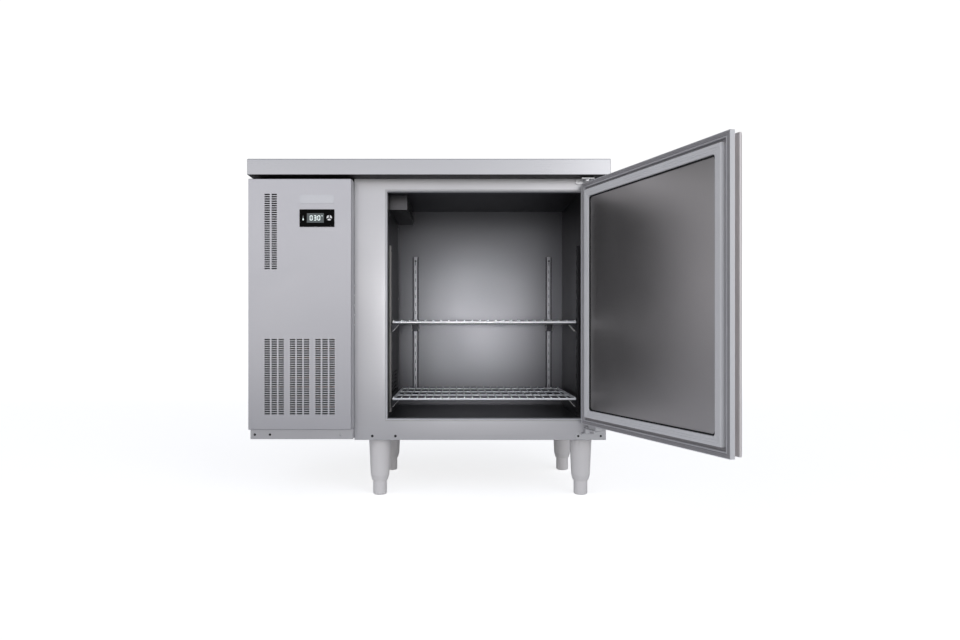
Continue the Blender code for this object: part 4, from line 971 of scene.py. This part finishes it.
def make_compressor():
    """Welded pot on a foot plate, with rubber feet and a terminal cover."""
    low, high, middle = box_of("compressor")
    radius = POT_RADIUS
    neck = radius * 0.965
    x = low.x + POT_OFFSET
    height = high.z - low.z
    seam = height * 0.56
    pot = [(0, 0.004), (radius * 0.72, 0.004), (radius * 0.86, 0.008), (radius * 0.95, 0.018),
           (radius * 0.97, 0.030), (radius * 0.97, seam - 0.004), (radius, seam - 0.0035),
           (radius, seam + 0.0035), (neck, seam + 0.004)]
    for step in range(1, 10):
        angle = math.pi / 2 * step / 10
        pot.append((neck * math.cos(angle), seam + 0.006 + (height - seam - 0.006) * math.sin(angle)))
    pot.append((0, height))
    bm = bmesh.new()
    add_turned(bm, pot, Matrix.Translation((x, middle.y, low.z)), 72)
    piece("compressor_pot", bm, "enamel", "cabinet", replaces=["compressor"], smooth_angle=40)
    box_piece("compressor_foot", low, (high.x, high.y, low.z + 0.0030), 0.0010, "enamel")
    bm = bmesh.new()
    for px in (low.x + GROMMET_INSET, high.x - GROMMET_INSET):
        for py in (low.y + GROMMET_INSET, high.y - GROMMET_INSET):
            add_turned(bm, GROMMET, Matrix.Translation((px, py, low.z)), 32, ring=True)
    piece("compressor_grommets", bm, "rubber", "cabinet")
    edge = x - radius
    box_piece("terminal_cover", (edge - 0.014, middle.y - 0.024, low.z + 0.060),
              (edge + 0.006, middle.y + 0.024, low.z + 0.110), 0.0025, "black", 3)


def make_motor(name, node, axis, front, back, radius, shaft_end, fins):
    """Fan motor with cooling ribs and its shaft; front and back are along the axis."""
    index = "XYZ".index(axis)
    centre = box_of(node)[2]
    centre[index] = front
    direction = [0, 0, 0]
    direction[index] = 1 if back > front else -1
    length = abs(back - front)
    profile = [(0, shaft_end), (0.003, shaft_end), (0.003, 0.0), (radius * 0.9, 0.0), (radius, 0.002)]
    width = length * 0.62 / fins
    for rib in range(fins):
        start = length * 0.12 + width * rib
        profile += [(radius, start), (radius, start + width * 0.5), (radius * 0.93, start + width * 0.6),
                    (radius * 0.93, start + width * 0.95)]
    profile += [(radius, length * 0.76), (radius, length * 0.86), (radius * 0.84, length * 0.97),
                (radius * 0.75, length), (0, length)]
    bm = bmesh.new()
    add_turned(bm, profile, aimed(centre, direction), 64)
    piece(name, bm, "enamel", "cabinet", replaces=[node])


def make_machinery():
    """Coils, fans with their motors, compressor and gland."""
    make_coil("condenser_coil", "X")
    make_coil("evaporator_coil", "Y")
    make_fan("condenser_fan_blade", "condenser_fan", "Y", 0.020, 0.088, 0.016, 5, "fins")
    make_fan("evaporator_fan_blade", "evaporator_fan", "X", 0.014, 0.045, 0.012, 5, "black")
    make_compressor()

    low, high, middle = box_of("condenser_fan_motor")
    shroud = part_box("condenser_shroud")[1].y
    front = shroud + 0.0033
    make_motor("condenser_motor", "condenser_fan_motor", "Y", front, high.y, MOTOR_RADIUS, low.y - front, 5)
    box_piece("condenser_motor_strip", (low.x, shroud + 0.0003, middle.z - 0.010),
              (high.x, front, middle.z + 0.010), 0.0006, "galvanised")
    low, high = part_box("evaporator_fan_motor")
    front = low.x + (high.x - low.x) * 0.49
    radius = (high.z - low.z) / 2
    make_motor("evaporator_motor", "evaporator_fan_motor", "X", front, low.x, radius, front - high.x, 3)

    low, high, middle = box_of("cord_gland")
    nut = (high.x - low.x) / 2
    length = high.y - low.y
    run = length - GLAND_NECK
    collar = run + GLAND_NUT
    start = aimed((middle.x, low.y, middle.z), (0, 1, 0))
    bm = bmesh.new()
    for profile, sides in (
        (((0.0074, 0), (0.0080, 0.0006), (0.0080, run)), 40),
        (((nut, run), (nut, collar)), 6),
        (((0.0092, collar), (0.0090, length - 0.003), (0.0070, length - 0.0006), (0.0060, length)), 40),
    ):
        bore = [(GLAND_BORE, profile[0][1]), *profile, (GLAND_BORE, profile[-1][1])]
        add_turned(bm, bore, start, sides, ring=True)
    piece("gland_body", bm, "black", "cabinet", replaces=["cord_gland"])


def add_segment(bm, place, flat, matrix):
    """One bar of a seven segment digit, with pointed ends."""
    half = (DIGIT_BAR - DIGIT_GAP) / 2
    tip = DIGIT_WIDTH / 2
    outline = [(-half, 0), (tip - half, tip), (half - tip, tip), (half, 0), (half - tip, -tip),
               (tip - half, -tip)]
    if not flat:
        outline = [(-y, x) for x, y in outline]
    add_extruded(bm, [(place[0] + x, place[1] + y) for x, y in outline], matrix, PRINT)


def make_display():
    """Reading, thermometer sign and button of the controller, and the blank plate above it."""
    low, _, middle = box_of("display_lens")
    face = facing((middle.x, low.y, middle.z), FRONT)
    bm = bmesh.new()
    for number, digit in enumerate(READING):
        x = (number - 1.1) * DIGIT_PITCH
        for column, row, flat in [BARS[name] for name in SEGMENTS[digit]]:
            add_segment(bm, (x + column * DIGIT_BAR / 2, row * DIGIT_BAR / 2), flat, face)
    mark = [(0.0007, 0), (0.0007, PRINT), (0.0013, PRINT), (0.0013, 0)]
    add_turned(bm, mark, face @ Matrix.Translation((*DEGREE_MARK, 0)), 24, ring=True)
    piece("display_reading", bm, "digits", "cabinet")

    bezel_low, bezel_high, bezel_middle = box_of("display_bezel")
    sign = facing(((bezel_low.x + low.x) / 2, bezel_low.y, middle.z), FRONT)
    bulb = [(0, 0), (0.0017, 0), (0.0017, 0.0001), (0.0015, PRINT), (0, PRINT)]
    bm = bmesh.new()
    add_turned(bm, bulb, sign @ Matrix.Translation((0, -BULB_DROP, 0)), 28)
    add_extruded(bm, plate_outline(0.0006, -0.0030, 0.0, 0.0003), sign, PRINT)
    piece("thermometer_sign", bm, "digits", "cabinet")
    bm = bmesh.new()
    add_extruded(bm, plate_outline(0.0011, -0.0030, 0.0056, 0.0009), sign, PRINT / 2)
    piece("thermometer_tube", bm, "lens", "cabinet")

    low, high, middle = box_of("set_button")
    radius = (high.x - low.x) / 2
    length = high.y - low.y
    dish = length - BUTTON_CROWN * 0.7
    matrix = facing((middle.x, high.y, middle.z), FRONT)
    bm = bmesh.new()
    add_turned(bm, [(0, 0), (radius, 0), (radius, length - BUTTON_CROWN), (radius - 0.0003, dish),
                    (0, length - BUTTON_CROWN * 0.6)], matrix)
    piece("button_body", bm, "black", "set_button", ["set_button"])
    bm = bmesh.new()
    for lobe in range(3):
        start = 102 + 120 * lobe
        rim = arc_points((0, 0), radius * 0.86, start, start + 96, 16)
        point = arc_points((0, 0), radius * 0.18, start + 48, start + 48, 1)[0]
        outline = rounded_outline([*rim, point], 0.0005, 2)
        add_extruded(bm, outline, matrix @ Matrix.Translation((0, 0, dish)), length - dish, 0.00015)
    piece("button_lobes", bm, "button", "set_button")
    spot = facing((bezel_middle.x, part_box("machine_cover")[0].y, bezel_high.z + PLATE_RISE), FRONT)
    half_width, half_height = PLATE_SIZE
    bm = bmesh.new()
    add_extruded(bm, plate_outline(half_width, -half_height, half_height, 0.004, 6), spot, 0.0008, 0.0002)
    piece("blank_plate", bm, "plate", "cabinet")


def make_cover_tape():
    """Foam tape that closes the slit between the machine cover and the cabinet."""
    low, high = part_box("machine_cover")
    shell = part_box("outer_shell")[0]
    box_piece("cover_foam_tape", (high.x + 0.0001, low.y + 0.006, low.z + 0.001),
              (shell.x - 0.0001, high.y, high.z - 0.001), 0.0004, "gasket_light")


def make_fasteners():
    """Screws of the brackets, the panels and the base, and near-black discs painted as shade in the spare
    holes and base holes.
    """
    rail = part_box("outer_shell")[0].y
    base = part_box("machine_base")[0].y
    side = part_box("machine_side_panel")[0].x
    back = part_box("machine_back_panel")[1].y
    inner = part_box("evaporator_cover")[1].x
    xs, z = BRACKET_SCREWS
    spots = [(x, rail - BRACKET_SHEET, z) for x in xs]
    screws("lower_bracket_screws", spots, FRONT, "cabinet", 0.0028, material="black")
    xs, z = SPARE_HOLES
    # Near-black discs in the spare holes and base holes stand in for their shade.
    turned_pieces("spare_hole_shade_discs", SPARE_HOLE_DISC, [facing((x, rail, z), FRONT) for x in xs])
    turned_pieces("base_holes", BASE_HOLE, [facing((x, base, BASE_Z), FRONT) for x in BASE_HOLES])
    screws("base_screw", [(BASE_SCREW, base, BASE_Z)], FRONT, "cabinet", 0.0034)
    spots = [(side, y, z) for y in SIDE_SCREWS[0] for z in SIDE_SCREWS[1]]
    screws("side_panel_screws", spots, (-1, 0, 0), "cabinet", 0.0034)
    spots = [(x, back, z) for x in BACK_SCREWS[0] for z in BACK_SCREWS[1]]
    screws("back_panel_screws", spots, (0, 1, 0), "cabinet", 0.0034)
    spots = [(inner, y, z) for y in COVER_SCREWS[0] for z in COVER_SCREWS[1]]
    screws("evaporator_cover_screws", spots, (1, 0, 0), "cabinet", 0.0030)


# ---------------- legs


def make_legs():
    """Smooth tapered sleeves, and feet with a threaded stem."""
    for place in CORNERS:
        node = f"leg_sleeve_{place}"
        low, high, middle = box_of(node)
        radius = (high.x - low.x) / 2
        height = high.z - low.z
        profile = [*SLEEVE_END, (radius - 0.0004, height - 0.004), (radius, height - 0.0034),
                   (radius, height - 0.0008), (radius - 0.0008, height), (0.0, height)]
        bm = bmesh.new()
        add_turned(bm, profile, Matrix.Translation((middle.x, middle.y, low.z)))
        piece(f"sleeve_{place}", bm, "legs", "cabinet", replaces=[node])
        make_foot(place)


def make_foot(place):
    """A rounded foot on a threaded stem."""
    node = f"adjustable_foot_{place}"
    low, high, middle = box_of(node)
    radius = (high.x - low.x) / 2
    length = high.z - low.z
    profile = [(0.0, 0.0), (radius - FOOT_EDGE - 0.002, 0.0)]
    profile += arc_points((radius - FOOT_EDGE, FOOT_EDGE), FOOT_EDGE, -90, 0, 6)
    profile += [(radius, SHOULDER - 0.0006), (radius - 0.0006, SHOULDER), (STEM, SHOULDER)]
    for turn in range(int((length - SHOULDER - 0.004) / THREAD_PITCH)):
        start = SHOULDER + 0.002 + turn * THREAD_PITCH
        profile += [(THREAD[0], start), (THREAD[0], start + THREAD_PITCH * 0.2),
                    (THREAD[1], start + THREAD_PITCH * 0.5), (THREAD[1], start + THREAD_PITCH * 0.7)]
    profile += [(THREAD[0], length - 0.001), (0.0058, length), (0.0, length)]
    bm = bmesh.new()
    add_turned(bm, profile, Matrix.Translation((middle.x, middle.y, low.z)), 48)
    piece(f"foot_{place}", bm, "legs", f"foot_{place}", replaces=[node])


# ---------------- door


def make_door():
    """Rim trim, gasket, inner frame, liner, skin and handle, made closed and turned open."""
    low, high = closed_box("door_gasket")
    back = low.y
    seal = high.y
    groove = back + 0.002
    crest = closed_box("door_inner_frame")[1].y
    trim = [(0.0, back), (0.0, seal - 0.0008), (0.0003, seal - 0.0002), (0.0010, seal),
            (0.0016, seal - 0.0006), (0.0016, back)]
    bellows = [(0.0017, back), (0.0017, seal - 0.0014), (0.0026, seal - 0.0006), (0.0048, seal - 0.0004),
               (0.0052, seal - 0.0012), (0.0056, seal - 0.0004), (0.0080, seal - 0.0006),
               (0.0086, seal - 0.0020), (0.0088, seal - 0.0046), (0.0122, seal - 0.0052),
               (0.0126, groove), (0.0194, groove), (0.0194, back)]
    lip = [(0.0089, seal - 0.0044), (0.0091, seal - 0.0006), (0.0098, seal - 0.0001),
           (0.0112, seal - 0.0003), (0.0119, seal - 0.0012), (0.0119, seal - 0.0044)]
    inner = [(0.0196, back), (0.0196, crest - 0.0010), (0.0199, crest - 0.0003), (0.0208, crest),
             (0.0256, crest, 0.001), (0.0259, crest - 0.0012, 0.001), (0.0265, crest - 0.0012, 0.001),
             (0.0268, crest - 0.0002, 0.001), (0.0306, crest - 0.0002, 0.0015),
             (0.0309, crest - 0.0014, 0.0015), (0.0315, crest - 0.0014, 0.0015),
             (0.0318, crest - 0.0006, 0.0015), (0.0362, crest - 0.0008, 0.005),
             (0.0372, crest - 0.0018, 0.006), (0.0375, crest - 0.0034, 0.006), (0.0375, back, 0.006)]
    # Painted shadow: a black rubber ring fills the gap between the inner frame and the liner, standing in for
    # the shadow in that gap.
    joint = [(0.0377, back, 0.006), (0.0377, crest - 0.0040, 0.006), (0.0381, crest - 0.0036, 0.0065),
             (0.0397, crest - 0.0036, 0.0078), (0.0401, crest - 0.0040, 0.008), (0.0401, back, 0.008)]
    for name, section, material, slot, replaced in (
        ("rim_trim", trim, "trim", "frame_plastic", []),
        ("gasket_bellows", bellows, "gasket", "gasket_rubber", ["door_gasket"]),
        # The magnet lip is the gasket rubber painted lighter: a painted highlight.
        ("gasket_magnet_lip", lip, "gasket_light", "gasket_rubber", []),
        ("inner_frame", inner, "frame", "frame_plastic", ["door_inner_frame"]),
        # Black ring in the frame-to-liner gap: painted shadow.
        ("liner_gap_painted_shadow", joint, "rubber", "gasket_rubber", []),
    ):
        bm = bmesh.new()
        add_frame(bm, (low.x, high.x), (low.z, high.z), section)
        piece(name, bm, material, "door", replaced, DOOR_OPEN, 28)

    low, high = closed_box("door_liner")
    face = high.y
    section = [(0.0, low.y, 0.0085), (0.0, face - 0.0008, 0.0085), (0.0002, face - 0.0002, 0.0083),
               (0.0008, face, 0.0077)]
    bm = bmesh.new()
    add_panel(bm, (low.x, high.x), (low.z, high.z), section)
    piece("liner_panel", bm, "door_liner", "door", ["door_liner"], DOOR_OPEN, 28)

    low, high = closed_box("door_skin")
    matrix = facing((0, low.y, 0), FRONT)
    folded_sheet("skin_panel", (low.x, high.x), (low.z, high.z), DOOR_OPEN @ matrix, "door", "door",
                 depth=high.y - low.y, sides="RTB", thickness=0.0008, bend=0.002,
                 replaces=["door_skin"])
    make_handle(seal)


def make_handle(seal):
    """Extruded handle profile with a finger groove and rounded lips."""
    low, high = closed_box("door_handle_profile")
    width = high.x - low.x
    near, groove, lip, far = HANDLE_DEPTHS
    points = [(0, groove), (0, lip), (0.016, far), (width, far), (width, near), (0.015, near),
              (0.015, groove)]
    outline = rounded_outline([(low.x + x, seal - depth) for x, depth in points], HANDLE_ROUND, 5)
    bm = bmesh.new()
    add_extruded(bm, outline, Matrix.Translation((0, 0, low.z)), high.z - low.z, 0.0004)
    piece("handle_profile", bm, "handle", "door", ["door_handle_profile"], DOOR_OPEN, 30)


# ---------------- studio


def paper_material():
    """White paper to the camera, and a grey reflector to the part."""
    material, tree, shader = new_material("studio_paper")
    fibre = add_node(tree, "TexNoise", {"Scale": 30.0, "Detail": 4.0}).outputs["Fac"]
    place = add_node(tree, "TexCoord").outputs["Object"]
    height = add_node(tree, "SeparateXYZ", {"Vector": place}).outputs["Z"]
    tone = add_range(tree, height, (PAPER_BOTTOM, 0.2), (PAPER_FLOOR, PAPER_WALL))
    specks = add_range(tree, fibre, (0.0, 1.0), (0.98, 1.02))
    white = add_range(tree, height, (PAPER_BOTTOM, 0.0), PAPER_WHITE)
    seen = add_node(tree, "LightPath").outputs["Is Camera Ray"]
    set_inputs(tree, shader, {
        "Base Color": add_math(tree, "MULTIPLY", tone, specks),
        "Roughness": 0.95,
        "Specular IOR Level": 0.0,
        "Emission Color": WHITE,
        "Emission Strength": add_math(tree, "MULTIPLY", seen, white),
    })
    return material


def make_studio():
    """Pale sweep, white surroundings and soft lights."""
    floor_z = CAD_BOX[0].z
    curve = arc_points((SWEEP_START, floor_z + SWEEP_RADIUS), SWEEP_RADIUS, -90, 0, 16)
    profile = [(-6.0, floor_z), *curve, (SWEEP_START + SWEEP_RADIUS, 4.5)]
    bm = bmesh.new()
    rows = [[bm.verts.new((x, y, z)) for x in (-7.0, 7.0)] for y, z in profile]
    for here, there in zip(rows, rows[1:]):
        bm.faces.new((here[0], here[1], there[1], there[0]))
    mesh = mesh_of(bm, "studio_sweep", 60)
    sweep = bpy.data.objects.new("studio_sweep", mesh)
    bpy.context.scene.collection.objects.link(sweep)
    mesh.materials.append(paper_material())

    world = bpy.data.worlds.new("studio_world")
    bpy.context.scene.world = world
    world.use_nodes = True
    tree = world.node_tree
    place = add_node(tree, "TexCoord").outputs["Generated"]
    axes = add_node(tree, "SeparateXYZ", {"Vector": place}).outputs
    sky = add_node(tree, "ValToRGB", {"Fac": add_range(tree, axes["Z"], (-1.0, 1.0), (0.0, 1.0))})
    stops = sky.color_ramp.elements
    for height, colour in SKY:
        stops.new(height).color = (*colour, 1.0)
    stops.remove(stops[0])
    stops.remove(stops[-1])
    behind = add_range(tree, axes["Y"], (-0.35, 0.15), (1.0, SKY_BEHIND))
    dimmed = add_node(tree, "VectorMath", {0: sky.outputs["Color"], "Scale": behind}, operation="SCALE")
    seen = add_node(tree, "LightPath").outputs["Is Camera Ray"]
    set_inputs(tree, tree.nodes["Background"], {
        "Color": add_mix(tree, seen, dimmed.outputs["Vector"], WHITE),
        "Strength": 1.0,
    })

    for name, place, target, size, power in LIGHTS:
        data = bpy.data.lights.new(name, "AREA")
        data.shape = "SQUARE"
        data.size = size
        data.energy = power
        data.spread = math.radians(SPREAD.get(name, 180))
        light = bpy.data.objects.new(name, data)
        light.location = place
        light.rotation_euler = (Vector(target) - Vector(place)).to_track_quat("-Z", "Y").to_euler()
        bpy.context.scene.collection.objects.link(light)
    bpy.context.scene.view_settings.view_transform = "Standard"


def make_camera():
    data = bpy.data.cameras.new("camera")
    data.sensor_width = 36.0
    data.lens = CAMERA_LENS
    data.shift_x, data.shift_y = CAMERA_SHIFT
    camera = bpy.data.objects.new("camera", data)
    camera.location = CAMERA_PLACE
    camera.rotation_euler = (math.pi / 2, 0, 0)
    bpy.context.scene.collection.objects.link(camera)
    bpy.context.scene.camera = camera


make_camera()
make_studio()
make_worktop()
for node_name, node_look in KEPT_NODES.items():
    keep_node(node_name, *node_look)
make_evaporator_cover()
make_standards()
for shelf_level in ("upper", "lower"):
    make_shelf(shelf_level)
make_machine_casing()
make_machinery()
make_display()
make_cover_tape()
make_fasteners()
make_legs()
make_door()
